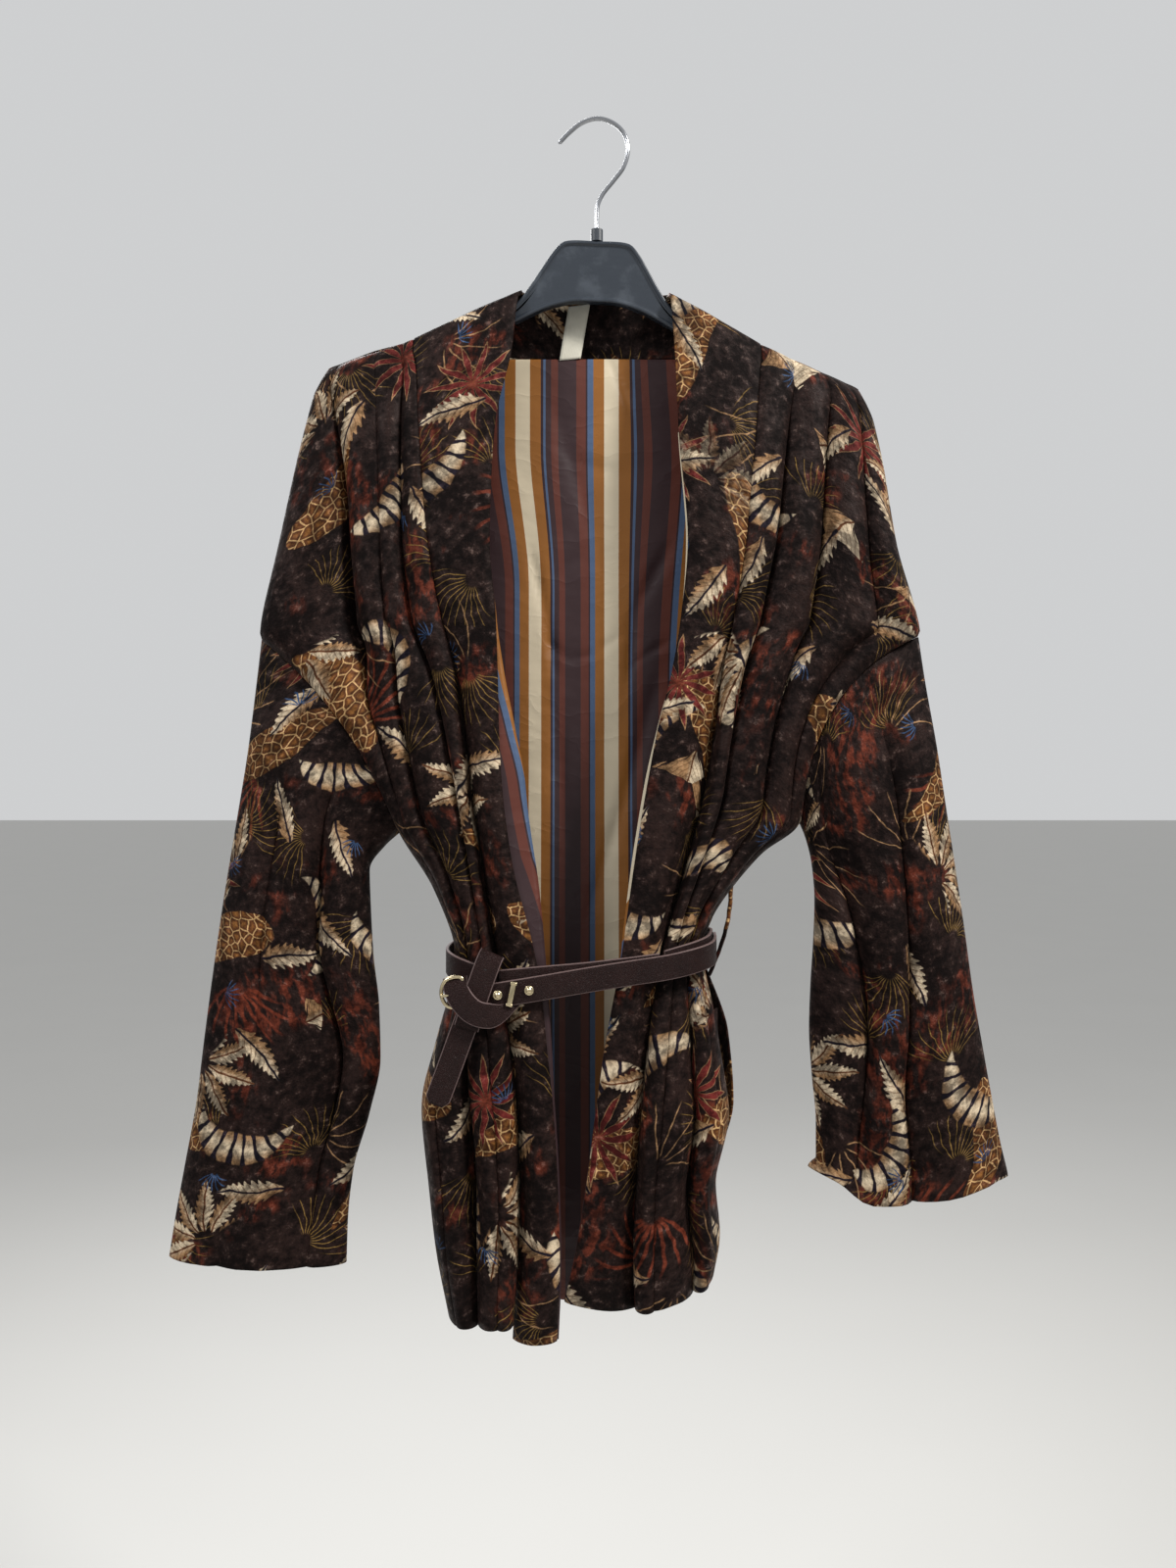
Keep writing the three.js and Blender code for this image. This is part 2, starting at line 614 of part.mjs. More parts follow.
function neckTape() {
  const { topX, topZ, endX, endZ, wide, topY, endY } = NECK_TAPE;
  const steps = [0, 0.25, 0.5, 0.75, 1];
  return wall(steps.map((s) => [-0.5, 0.5].map((side) => {
    const bulge = 0.8 * Math.sin(Math.PI * s);
    return vec(lerp(topX, endX, s) + side * wide, lerp(topY, endY, s) - bulge, lerp(topZ, endZ, s) + side * 1.5);
  })), TAPE);
}

// A flat strap along a smooth path. wideWay is the way its width runs.
function strap(points, wideWay, { wide, thick }, steps, taper = () => 1) {
  const path = new THREE.CatmullRomCurve3(points, false, 'centripetal');
  const rings = [];
  for (let j = 0; j <= steps; j += 1) {
    const tangent = path.getTangentAt(j / steps);
    const centre = path.getPointAt(j / steps);
    const through = tangent.clone().cross(wideWay).normalize();
    const across = through.clone().cross(tangent).normalize();
    const half = (wide / 2) * taper(j / steps);
    rings.push([[1, 1], [-1, 1], [-1, -1], [1, -1]].map(([a, b]) => (
      centre.clone().addScaledVector(across, a * half).addScaledVector(through, (b * thick) / 2)
    )));
  }
  return tube(rings);
}

// A solid through rings of points, closed at both ends, or joined end to end.
function tube(rings, joined = false) {
  const size = rings[0].length;
  const points = rings.flat();
  const faces = [];
  const spans = joined ? rings.length : rings.length - 1;
  for (let j = 0; j < spans; j += 1) {
    for (let i = 0; i < size; i += 1) {
      const a = j * size + i;
      const b = j * size + (i + 1) % size;
      const c = ((j + 1) % rings.length) * size + (i + 1) % size;
      const d = ((j + 1) % rings.length) * size + i;
      faces.push(a, b, c, a, c, d);
    }
  }
  const end = (rings.length - 1) * size;
  for (let i = 1; !joined && i < size - 1; i += 1) {
    faces.push(0, i + 1, i, end, end + i, end + i + 1);
  }
  return facingOut(points, faces);
}

// A round bar bent along a curve in a plane that faces forward.
function bentBar(path, steps, radius, sides, joined = false) {
  const rings = [];
  const count = joined ? steps : steps + 1;
  for (let j = 0; j < count; j += 1) {
    const centre = path.getPointAt(j / steps);
    const tangent = path.getTangentAt(j / steps);
    const front = vec(0, 1, 0);
    const across = tangent.clone().cross(front).normalize();
    rings.push(Array.from({ length: sides }, (_, i) => {
      const a = (2 * Math.PI * (i + 0.5)) / sides;
      return centre.clone().addScaledVector(across, radius * Math.cos(a)).addScaledVector(front, radius * Math.sin(a));
    }));
  }
  return tube(rings, joined);
}

// The hanger: a flat moulded plate with a thin rim raised along its edge on both faces.
const HANGER_HALF = table(['x', 'z'], [
  [19, 0],
  [26, -2],
  [32, -9],
  [48, -35],
  [60, -50],
  [92, -65],
  [126, -82.5],
  [163, -97],
  [182, -104],
  [186, -109],
  [183, -114],
  [160, -108],
  [120, -93],
  [90, -79],
  [58, -62],
  [34, -50],
  [16, -45],
]);

function hangerOutline() {
  const right = HANGER_HALF.map(({ x, z }) => new THREE.Vector2(x, z));
  const left = HANGER_HALF.map(({ x, z }) => new THREE.Vector2(-x, z)).reverse();
  return [...right, ...left];
}

// The outline moved inwards by a distance, corner by corner.
function inside(outline, distance) {
  const count = outline.length;
  return outline.map((corner, i) => {
    const before = corner.clone().sub(outline[(i + count - 1) % count]).normalize();
    const after = outline[(i + 1) % count].clone().sub(corner).normalize();
    const inward = new THREE.Vector2(before.y + after.y, -before.x - after.x).normalize();
    const sharp = Math.max(0.5, Math.sqrt((1 + before.dot(after)) / 2));
    return corner.clone().addScaledVector(inward, distance / sharp);
  });
}

function upright(outline, thick) {
  const geometry = new THREE.ExtrudeGeometry(new THREE.Shape(outline), { depth: thick, bevelEnabled: false });
  geometry.translate(0, 0, -thick / 2);
  return geometry.rotateX(Math.PI / 2);
}

function solid(geometry) {
  const bare = new THREE.BufferGeometry().setAttribute('position', geometry.getAttribute('position'));
  if (geometry.index) bare.setIndex(geometry.index);
  const merged = mergeVertices(bare, 1e-4);
  const mesh = new wasm.Mesh({
    numProp: 3,
    vertProperties: new Float32Array(merged.attributes.position.array),
    triVerts: new Uint32Array(merged.index.array),
  });
  return new wasm.Manifold(mesh);
}

function geometryOf(made) {
  const mesh = made.getMesh();
  const geometry = new THREE.BufferGeometry();
  geometry.setAttribute('position', new THREE.BufferAttribute(mesh.vertProperties, 3));
  geometry.setIndex(new THREE.BufferAttribute(mesh.triVerts, 1));
  geometry.computeVertexNormals();
  return geometry;
}

function hangerBody() {
  const { thick, rim, recess } = HANGER;
  const outline = hangerOutline();
  const hollow = inside(outline, rim);
  let body = solid(upright(outline, thick));
  [-1, 1].forEach((way) => {
    const cut = upright(hollow, recess + 1);
    cut.translate(0, way * (thick / 2 + 0.5 - recess / 2), 0);
    body = body.subtract(solid(cut));
  });
  return geometryOf(body);
}

// The hook's centreline, from its free tip over the top and down the shank.
const HOOK_PATH = table(['x', 'z'], [
  [-28, -16.8],
  [-20.5, -9],
  [-11, -1.6],
  [0, HOOK_WIRE / 2],
  [11, -1.2],
  [19.5, -8.6],
  [23, -20],
  [20, -33.5],
  [12.5, -44],
  [4.5, -54],
  [0.8, -62],
  [0, -72],
  [0, -82.4],
]);
const FERRULE = { radius: 4.5, top: -82.8, end: -89.6 };

function hookWire() {
  const path = new THREE.CatmullRomCurve3(HOOK_PATH.map(({ x, z }) => vec(x, 0, z)), false, 'centripetal');
  return bentBar(path, 36, HOOK_WIRE / 2, 8);
}

function ferrule() {
  const { radius, top, end } = FERRULE;
  const profile = [[0, end], [radius, end], [radius, top + 2], [radius - 1.4, top], [0, top]];
  const geometry = new THREE.LatheGeometry(profile.map(([r, z]) => new THREE.Vector2(r, z)), 16);
  return geometry.rotateX(Math.PI / 2);
}

// The belt. Its stretches are flat straps that lie on each other at the front.
const UP = vec(0, 0, 1);
const BELT_ROUND = table(['x', 'y', 'z'], [
  [-80, -53.6, -623],
  [-90, -50, -620],
  [-100, -40, -617.5],
  [-107, -22, -616],
  [-108.5, -4, -615],
  [-106, 12, -614],
  [-97, 22.5, -613],
  [-78, 26.5, -612],
  [-40, 27, -611],
  [0, 27, -609.5],
  [40, 26.5, -607],
  [68, 24.5, -605],
  [80.6, 14, -603.5],
  [83.6, 0, -603],
  [82, -16, -603.5],
  [77.5, -32, -605],
  [66, -46, -607.5],
  [48, -52.6, -612],
]);
const BELT_UNDER = table(['x', 'y', 'z'], [
  [44, -53, -614],
  [20, -53.6, -617],
  [-6, -53.6, -620],
  [-40, -53.6, -623],
  [-68, -53.6, -625.5],
]);
const BELT_OVER = table(['x', 'y', 'z'], [
  [86.6, 2, -606],
  [85.2, -16, -607.5],
  [80.4, -34, -609],
  [68.8, -48.3, -611],
  [50, -55.4, -614.5],
  [20, -56.5, -619],
  [-8, -56.6, -623.5],
  [-40, -56.6, -629],
  [-80, -56.6, -635.5],
]);
const BELT_KNOT = table(['x', 'y', 'z'], [
  [-72.5, -53.6, -605.5],
  [-74, -56.3, -608.5],
  [-76.5, -58.4, -615],
  [-82.5, -59.5, -632],
  [-87.5, -59.4, -648],
  [-90, -59, -656],
]);
const BELT_TAIL = table(['x', 'y', 'z'], [
  [-88.5, -56.6, -647.5],
  [-94, -56.4, -662],
  [-102, -56.2, -684],
  [-111.5, -56, -709.5],
]);
const BUCKLE = { x: -100, y: -56.4, z: -632, wide: 17, tall: 24, bar: 2.8 };
const PRONG = { from: -107.8, to: -95.3, z: -633.7, before: 2.8, radius: 1.1 };
const KEEPER = { x: -59, z: -632.6, tall: 17.5, wide: 4.6, thick: 2.6, y: -59.5, lean: 12 };
const STUDS = { right: { x: -68.6, z: -633.4 }, left: { x: -47, z: -630.2 } };
const STUD = { radius: 3.4, rise: 2.4, y: -58.2 };

const points = (rows) => rows.map(({ x, y, z }) => vec(x, y, z));

function buckleFrame() {
  const { x, y, z, wide, tall, bar } = BUCKLE;
  const rx = (wide - bar) / 2;
  const rz = (tall - bar) / 2;
  const corners = [[1, -0.86], [1, 0.86], [0.75, 1], [0, 0.97], [-0.62, 0.78], [-1, 0.3], [-1, -0.3], [-0.62, -0.78],
    [0, -0.97], [0.75, -1]];
  const path = new THREE.CatmullRomCurve3(
    corners.map(([a, b]) => vec(x + a * rx, y, z + b * rz)), true, 'centripetal');
  return bentBar(path, 30, bar / 2, 8, true);
}

// The prong lies across the front of the ring.
function buckleProng() {
  const [from, to] = [PRONG.from, PRONG.to].map((x) => vec(x, BUCKLE.y - PRONG.before, PRONG.z));
  return bentBar(new THREE.LineCurve3(from, to), 1, PRONG.radius, 8);
}

function keeperBar() {
  const { wide, thick, tall } = KEEPER;
  return new THREE.BoxGeometry(wide, thick, tall);
}

function stud() {
  const { radius, rise } = STUD;
  const profile = [[0, 0], [radius, 0], [radius, 0.7], [0.8 * radius, 1.7], [0.45 * radius, rise - 0.15], [0, rise]];
  return new THREE.LatheGeometry(profile.map(([r, h]) => new THREE.Vector2(r, h)), 14).rotateX(Math.PI);
}

// The velvet loop at the wearer's left side that carries the belt.
const BELT_LOOP = table(['x', 'y', 'z'], [
  [106.5, 0, -563],
  [105, 0, -573],
  [99.5, 0, -590],
  [95, 0, -606],
  [90.5, 0, -620],
  [86, 0, -632],
]);
const LOOP_STRIP = { wide: 9, thick: 3.4 };

// The pocket bag behind the slit in the left side seam.
const POCKET = { x: 88, inner: 52, top: -652, end: -716, y: -6, innerY: -22 };

function pocketBag() {
  const { x, inner, top, end, y, innerY } = POCKET;
  return wall([0, 0.25, 0.5, 0.75, 1].map((s) => [0, 0.35, 0.7, 1].map((w) => (
    vec(lerp(x, inner, w), lerp(y, innerY, w ** 0.7), lerp(top, end, s) - 14 * w * (1 - s))
  ))), LINING);
}

// Finishes: plain colours of each material.
const finish = (color, roughness, metalness = 0) => new THREE.MeshStandardMaterial({ color, roughness, metalness });
const velvet = finish(0x2f2625, 0.7);
const satin = finish(0x9a6a35, 0.4);
const leather = finish(0x3c2b2b, 0.5);
const brass = finish(0xc9b184, 0.25, 1);
const chrome = finish(0xd0d2d4, 0.15, 1);
const plastic = finish(0x22272c, 0.35);
const cotton = finish(0xd9d3c4, 0.8);

const piece = (name, geometry, material) => {
  const mesh = new THREE.Mesh(geometry, material);
  mesh.name = name;
  return mesh;
};

const robe = new THREE.Group();
robe.add(
  piece('front_right', frontPanel(FRONT_RIGHT), velvet),
  piece('front_left', frontPanel(FRONT_LEFT), velvet),
  piece('back', backPanel(), velvet),
  piece('sleeve_right', sleeveTube(SLEEVE_RIGHT), velvet),
  piece('sleeve_left', sleeveTube(SLEEVE_LEFT), velvet),
  piece('band_right', bandPanel(BAND_RIGHT), velvet),
  piece('band_left', bandPanel(BAND_LEFT), velvet),
  piece('band_neck', neckBand(), velvet),
  piece('lining_back', liningBack(), satin),
  piece('lining_front_right', liningFront(BAND_RIGHT, 5), satin),
  piece('lining_front_left', liningFront(BAND_LEFT, 4), satin),
  piece('neck_tape', neckTape(), cotton),
  piece('pocket_left', pocketBag(), velvet),
  piece('belt_loop_left', strap(points(BELT_LOOP), vec(0.55, 0.83, 0), LOOP_STRIP, 10), velvet),
);

const belt = new THREE.Group();
const tipCut = (s) => (s > 0.93 ? lerp(1, 0.55, (s - 0.93) / 0.07) : 1);
belt.add(
  piece('belt_round', strap(points(BELT_ROUND), UP, BELT, 48), leather),
  piece('belt_under', strap(points(BELT_UNDER), UP, BELT, 12), leather),
  piece('belt_over', strap(points(BELT_OVER), UP, BELT, 24), leather),
  piece('belt_knot', strap(points(BELT_KNOT), vec(1, 0, -0.3), BELT, 14), leather),
  piece('belt_tail', strap(points(BELT_TAIL), vec(1, 0, -0.38), BELT, 14, tipCut), leather),
  piece('buckle_frame', buckleFrame(), brass),
  piece('buckle_prong', buckleProng(), brass),
);

const keeper = piece('belt_keeper', keeperBar(), brass);
keeper.position.set(KEEPER.x, KEEPER.y, KEEPER.z);
keeper.rotation.y = degToRad(KEEPER.lean);
belt.add(keeper);
Object.entries(STUDS).forEach(([side, { x, z }]) => {
  const mesh = piece(`belt_stud_${side}`, stud(), brass);
  mesh.position.set(x, STUD.y, z);
  belt.add(mesh);
});
robe.add(belt);

const hanger = new THREE.Group();
const plate = piece('hanger_body', hangerBody(), plastic);
plate.position.z = HANGER.top;
plate.rotation.y = degToRad(-HANGER.tilt);
hanger.add(
  plate,
  piece('hanger_ferrule', ferrule(), plastic),
  piece('hanger_hook', hookWire(), chrome),
);
robe.add(hanger);

export default robe;
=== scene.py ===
# Kimono robe on a hanger: crushed velvet over a striped satin lining, a knotted leather belt and
# a moulded hanger. Sizes are in millimetres and become metres where a mesh is written.
# +Z is up, the front faces -Y, and the wearer's right side is at -X.
import math

import bmesh
import bpy
from mathutils import Matrix, Vector, noise


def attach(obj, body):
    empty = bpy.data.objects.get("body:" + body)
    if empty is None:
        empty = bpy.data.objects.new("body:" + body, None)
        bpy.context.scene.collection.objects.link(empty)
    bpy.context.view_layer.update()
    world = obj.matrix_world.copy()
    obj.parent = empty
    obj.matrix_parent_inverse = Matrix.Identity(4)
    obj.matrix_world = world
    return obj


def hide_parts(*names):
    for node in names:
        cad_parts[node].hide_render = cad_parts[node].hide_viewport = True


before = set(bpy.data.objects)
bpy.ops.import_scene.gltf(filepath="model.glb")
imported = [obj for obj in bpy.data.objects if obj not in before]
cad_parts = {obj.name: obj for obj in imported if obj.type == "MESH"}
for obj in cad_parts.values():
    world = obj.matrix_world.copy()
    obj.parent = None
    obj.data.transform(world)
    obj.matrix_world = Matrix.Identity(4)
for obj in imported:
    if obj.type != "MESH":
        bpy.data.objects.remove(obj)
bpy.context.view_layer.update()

MM = 0.001

# Cloth
VELVET = 1.6            # thickness of the velvet panels
BAND = 2.6              # thickness of the doubled collar band
LINING = 0.9            # thickness of the satin lining
EDGE = 0.5              # half the gap between front and back along shoulder and side
ROLL = 15               # distance over which a panel turns round a side seam
FRONT_ROLL = 15         # radius of the cloth over the shoulder, in front of the hanger
BACK_ROLL = 18          # and behind it
PUFF = 0.05             # how much a pleat swells, as a share of its width
PINCH = 2.8             # sharpness of the valley between two pleats
DEEPEN = 1.75           # how much deeper the valleys are than the solids'
LIP = 0.24              # how far a pleat's side leans over its valley, as a share of depth
LEAN_MOST = 0.16        # the most that a pleat's side leans, as a share of the pleat's width
LEAN_PEAK = 6.75        # brings s (1 - s)^2, the run of that lean, to 1 at its highest
BAND_CROWN = 1.5        # how far the collar band bulges along its middle
STAND = 0.7             # how far a panel's edge stands off its seam
SEAM_DIP, SEAM_REACH = 1.3, 3.2          # how deep a panel dips into its seam, and how far from it
ROLL_DEEP, ROLL_WIDE = 1.6, 4            # how far a band's free edge rolls back, over what width
SLEEVE_FULL = 0.55      # how a sleeve's ring rounds off at its folds: more is sharper
SLEEVE_START = 0.012    # how far down the first ring a sleeve begins, clear of its armhole
CUFF_REACH = 1.4        # how many rings above the cuff its wave begins
LINING_TUCK = 24        # how far a front's lining reaches under the band
LINING_GAP = 1.4        # room between that lining and the band's cloth
SHOULDER, NOTCH, UNDERARM, HEM = 3, 6, 9, 17   # levels of the body, counted down from 0, the crest

# The back below its shoulder line, at levels 0 to 3: how far it has turned over the shoulder, in
# degrees, and how far it has dropped behind the neck. The neck lies within NECK_NEAR of NECK_X,
# the shoulders beyond NECK_FAR.
BACK_TURN = [0, 40, 78, 90]
NECK_DROP = [0, 4, 12, 22]
NECK_X, NECK_NEAR, NECK_FAR = -7, 92, 126

# The middle of the back's hem sags between the fronts: how far, from which level, where, how wide
SAG, SAG_FROM, SAG_X, SAG_WIDE = 21, 14.5, -18, 42

# The fine unevenness of hanging velvet: its depth, its size across and down the cloth, and the
# place in the noise that it is read from
UNEVEN = [(1.3, 22, 80, 0), (0.8, 9, 30, 5), (0.3, 4, 8, 9)]

# The gathers at the belt: how deep they are, how far they reach up and down, half of what the
# belt itself covers, and the ripple across the cloth
GATHER_DEEP, GATHER_REACH, GATHER_CLEAR, GATHER_RIPPLE = 2.2, 34, 11, 0.6

# The belt's leather
BELT_WIDE, BELT_THICK = 17.5, 2.4


def table(columns, rows):
    """The columns of a table by name."""
    return {name: [row[i] for row in rows] for i, name in enumerate(columns)}


def lerp(a, b, s):
    return a + (b - a) * s


def clamp(value, low=0.0, high=1.0):
    return min(max(value, low), high)


def smoothstep(value, low, high):
    s = clamp((value - low) / (high - low))
    return s * s * (3 - 2 * s)


def along(values, t):
    """A smooth curve through equally spaced values that never overshoots them."""
    last = len(values) - 1
    i = min(max(int(t), 0), last - 1)
    f = clamp(t - i)

    def slope(k):
        if k == 0:
            return values[1] - values[0]
        if k == last:
            return values[last] - values[last - 1]
        before = values[k] - values[k - 1]
        after = values[k + 1] - values[k]
        return 0.0 if before * after <= 0 else 2 * before * after / (before + after)

    f2 = f * f
    f3 = f2 * f
    return (values[i] * (2 * f3 - 3 * f2 + 1) + slope(i) * (f3 - 2 * f2 + f)
            + values[i + 1] * (3 * f2 - 2 * f3) + slope(i + 1) * (f3 - f2))


def over_shoulder(rows):
    """Inserts the two levels that round the shoulder below the crest row."""
    crest, after = rows[0], rows[1]
    made = []
    for i, angle in enumerate((40, 78)):
        y = -FRONT_ROLL * math.sin(math.radians(angle))
        down = FRONT_ROLL * (1 - math.cos(math.radians(angle)))
        share = (i + 1) / 3
        seam_x, seam_z, side_x, side_z, _, _, slit = crest
        made.append([seam_x, seam_z - down, lerp(side_x, after[2], share),
                     lerp(side_z, after[3], share), y, y, slit])
    return [crest, *made, *rows[1:]]


# The armholes, and the sleeves that hang from them. A row for each ring of the sleeve:
# out is its outer fold, in its inner fold, bow how much of the armhole's bend is left,
# front and back how far the ring stands out each way.
RING = ("out_x", "out_z", "in_x", "in_z", "bow", "front", "back")
SLEEVE_RIGHT = {
    "bend": (-172, -436),
    "rings": table(RING, [
        [-246, -382, -145, -523, 1, 22, 20],
        [-250, -416, -157, -534, 0.66, 23, 22],
        [-256, -464, -168, -552, 0.36, 24, 24],
        [-264, -514, -167, -582, 0.16, 25, 25],
        [-273, -568, -165, -616, 0.05, 25, 26],
        [-281, -622, -161, -652, 0, 24, 27],
        [-288, -674, -160, -690, 0, 23, 27],
        [-294, -722, -168, -730, 0, 22, 25],
        [-302, -766, -180, -772, 0, 22, 23],
        [-309, -804, -184, -808, 0, 21, 22],
        [-314, -835, -185, -840, 0, 20, 21],
    ]),
    "stations": [0, 2, 4, 6, 8, 10],
    "front_folds": [
        {"at": [0.3, 0.32, 0.3, 0.32, 0.3, 0.3], "deep": [0, 3, 4, 3, 2, 1]},
        {"at": [0.6, 0.62, 0.64, 0.8, 0.82, 0.8], "deep": [2, 9, 12, 14, 7, 3]},
    ],
    "back_folds": [{"at": [0.55, 0.5, 0.55, 0.6, 0.5, 0.5], "deep": [2, 7, 9, 8, 5, 3]}],
}

SLEEVE_LEFT = {
    "bend": (150, -415),
    "rings": table(RING, [
        [236, -380, 149, -515, 1, 22, 20],
        [241, -413, 154, -527, 0.66, 23, 22],
        [249, -458, 159, -548, 0.36, 24, 24],
        [256, -504, 161, -574, 0.16, 25, 25],
        [263, -550, 160, -604, 0.05, 26, 26],
        [270, -597, 158, -636, 0, 26, 26],
        [276, -640, 157, -668, 0, 26, 26],
        [283, -680, 159, -702, 0, 26, 25],
        [290, -719, 162, -736, 0, 26, 24],
        [297, -756, 162, -764, 0, 25, 23],
        [302, -781, 156, -783, 0, 24, 22],
    ]),
    "stations": [0, 2, 4, 6, 8, 10],
    "front_folds": [
        {"at": [0.3, 0.32, 0.37, 0.42, 0.52, 0.5], "deep": [1, 6, 8, 8, 8, 8]},
        {"at": [0.72, 0.86, 0.74, 0.66, 0.76, 0.84], "deep": [2, 5, 11, 13, 9, 3]},
    ],
    "back_folds": [{"at": [0.55, 0.5, 0.45, 0.5, 0.55, 0.5], "deep": [2, 6, 9, 9, 6, 3]}],
}

# The two fronts. A row for each level but the two that round the shoulder:
# seam is the collar seam, side the shoulder line or side seam, seam_y and face_y how far the
# cloth stands forward beside the collar and near the side, slit how far a pocket pulls it in.
FRONT = ("seam_x", "seam_z", "side_x", "side_z", "seam_y", "face_y", "slit")
FRONT_RIGHT = {
    "sleeve": SLEEVE_RIGHT,
    "rows": table(FRONT, over_shoulder([
        [-133, -162, -197, -183, 0, 0, 0],
        [-130, -188, -207, -203, -20, -15, 0],
        [-127, -237, -217, -243, -29, -21, 0],
        [-121, -313, -232, -313, -36, -25, 0],
        [-111, -370, -246, -382, -39, -24, 0],
        [-101, -409, -202, -421, -41, -27, 0],
        [-96, -449, -169, -468, -43, -30, 0],
        [-91, -491, -145, -523, -45, -28, 0],
        [-83, -543, -119, -565, -47, -31, 0],
        [-74, -600, -104, -607, -49, -33, 0],
        [-70, -624, -104, -625, -49, -34, 0],
        [-61, -675, -117, -676, -58, -43, 0],
        [-57, -720, -127, -722, -60, -47, 0],
        [-55, -775, -122, -775, -60, -49, 0],
        [-56, -820, -117, -820, -59, -48, 0],
        [-59, -866, -108, -869, -57, -44, 0],
    ])),
    "stations": [3, 5, 6, 7.5, 9, 10.5, 12, 14.5, 17],
    "collar_valley": [0, 3, 7, 12, 15, 15, 9, 15, 10],
    "folds": [
        {"at": [0.12, 0.17, 0.16, 0.16, 0.16, 0.22, 0.28, 0.2, 0.2], "deep": [2, 9, 10, 9, 8, 6, 5, 3, 2]},
        {"at": [0.4, 0.3, 0.29, 0.5, 0.64, 0.6, 0.6, 0.45, 0.5], "deep": [1, 3, 6, 10, 9, 7, 8, 20, 9]},
        {"at": [0.86, 0.52, 0.46, 0.74, 0.86, 0.84, 0.84, 0.8, 0.8], "deep": [5, 14, 13, 8, 2, 3, 4, 4, 2]},
    ],
}

FRONT_LEFT = {
    "sleeve": SLEEVE_LEFT,
    "rows": table(FRONT, over_shoulder([
        [119, -166, 192, -198, 0, 0, 0],
        [117, -195, 202, -221, -20, -15, 0],
        [113, -238, 209, -254, -29, -21, 0],
        [106, -313, 219, -315, -36, -25, 0],
        [98, -370, 236, -380, -39, -24, 0],
        [90, -409, 188, -410, -41, -27, 0],
        [85, -449, 159, -455, -43, -30, 0],
        [78, -491, 149, -515, -45, -28, 0],
        [67, -536, 119, -540, -47, -31, 0],
        [53, -584, 84, -586, -49, -33, 0],
        [46, -608, 76.5, -610, -49, -34, 0],
        [36, -670, 96, -670, -58, -43, 9],
        [31, -722, 100, -722, -60, -47, 5],
        [28, -775, 86, -776, -60, -49, 0],
        [26, -817, 89, -813, -59, -48, 0],
        [27, -857, 85, -840, -57, -44, 0],
    ])),
    "stations": [3, 5, 6, 7.5, 9, 10.5, 12, 14.5, 17],
    "collar_valley": [0, 3, 7, 12, 15, 15, 9, 16, 12],
    "folds": [
        {"at": [0.3, 0.2, 0.14, 0.15, 0.16, 0.2, 0.28, 0.2, 0.2], "deep": [2, 10, 12, 11, 9, 7, 5, 3, 2]},
        {"at": [0.62, 0.5, 0.4, 0.54, 0.58, 0.58, 0.58, 0.6, 0.7], "deep": [3, 12, 12, 10, 9, 7, 8, 18, 9]},
        {"at": [0.87, 0.8, 0.76, 0.8, 0.85, 0.84, 0.84, 0.86, 0.88], "deep": [3, 6, 6, 6, 3, 3, 4, 3, 2]},
    ],
}

# The free edge of the collar band, a row for each level, and how far the front's lining
# looks out past it.
FREE_EDGE = ("x", "y", "z", "show")
BAND_RIGHT = {
    "front": FRONT_RIGHT,
    "drop": 12,
    "edge": table(FREE_EDGE, [
        [-55, 0, -126, 0],
        [-57, -7, -130, 0],
        [-59, -12, -140, 0],
        [-62, -19, -174, 0],
        [-74, -28, -235, 0],
        [-77, -34, -313, 0],
        [-72.5, -37, -368, 1],
        [-71, -39, -408, 5],
        [-70, -41, -449, 12],
        [-67.5, -43, -491, 17],
        [-60.5, -45, -543, 17],
        [-46, -48, -600, 9],
        [-41, -49, -624, 6],
        [-35.5, -52, -675, 4],
        [-31, -53, -720, 2],
        [-28, -53, -775, 2],
        [-27, -51, -820, 2],
        [-29, -48, -864, 2],
    ]),
}

BAND_LEFT = {
    "front": FRONT_LEFT,
    "drop": 0,
    "edge": table(FREE_EDGE, [
        [53, 0, -128, 0],
        [54, -7, -132, 0],
        [55, -12, -143, 0],
        [57, -19, -178, 0],
        [59, -28, -237, 1],
        [65, -34, -313, 1.8],
        [60, -37, -370, 0.6],
        [53.5, -39, -409, 0.6],
        [43.5, -41, -449, 1.2],
        [35.5, -43, -491, 2.7],
        [28, -45, -536, 2.7],
        [20.5, -48, -588, 2],
        [16.5, -49, -616, 1],
        [6, -52, -672, 1],
        [-1, -53, -722, 1],
        [-8, -53, -775, 1],
        [-15, -51, -817, 1],
        [-22, -48, -849, 1],
    ]),
}

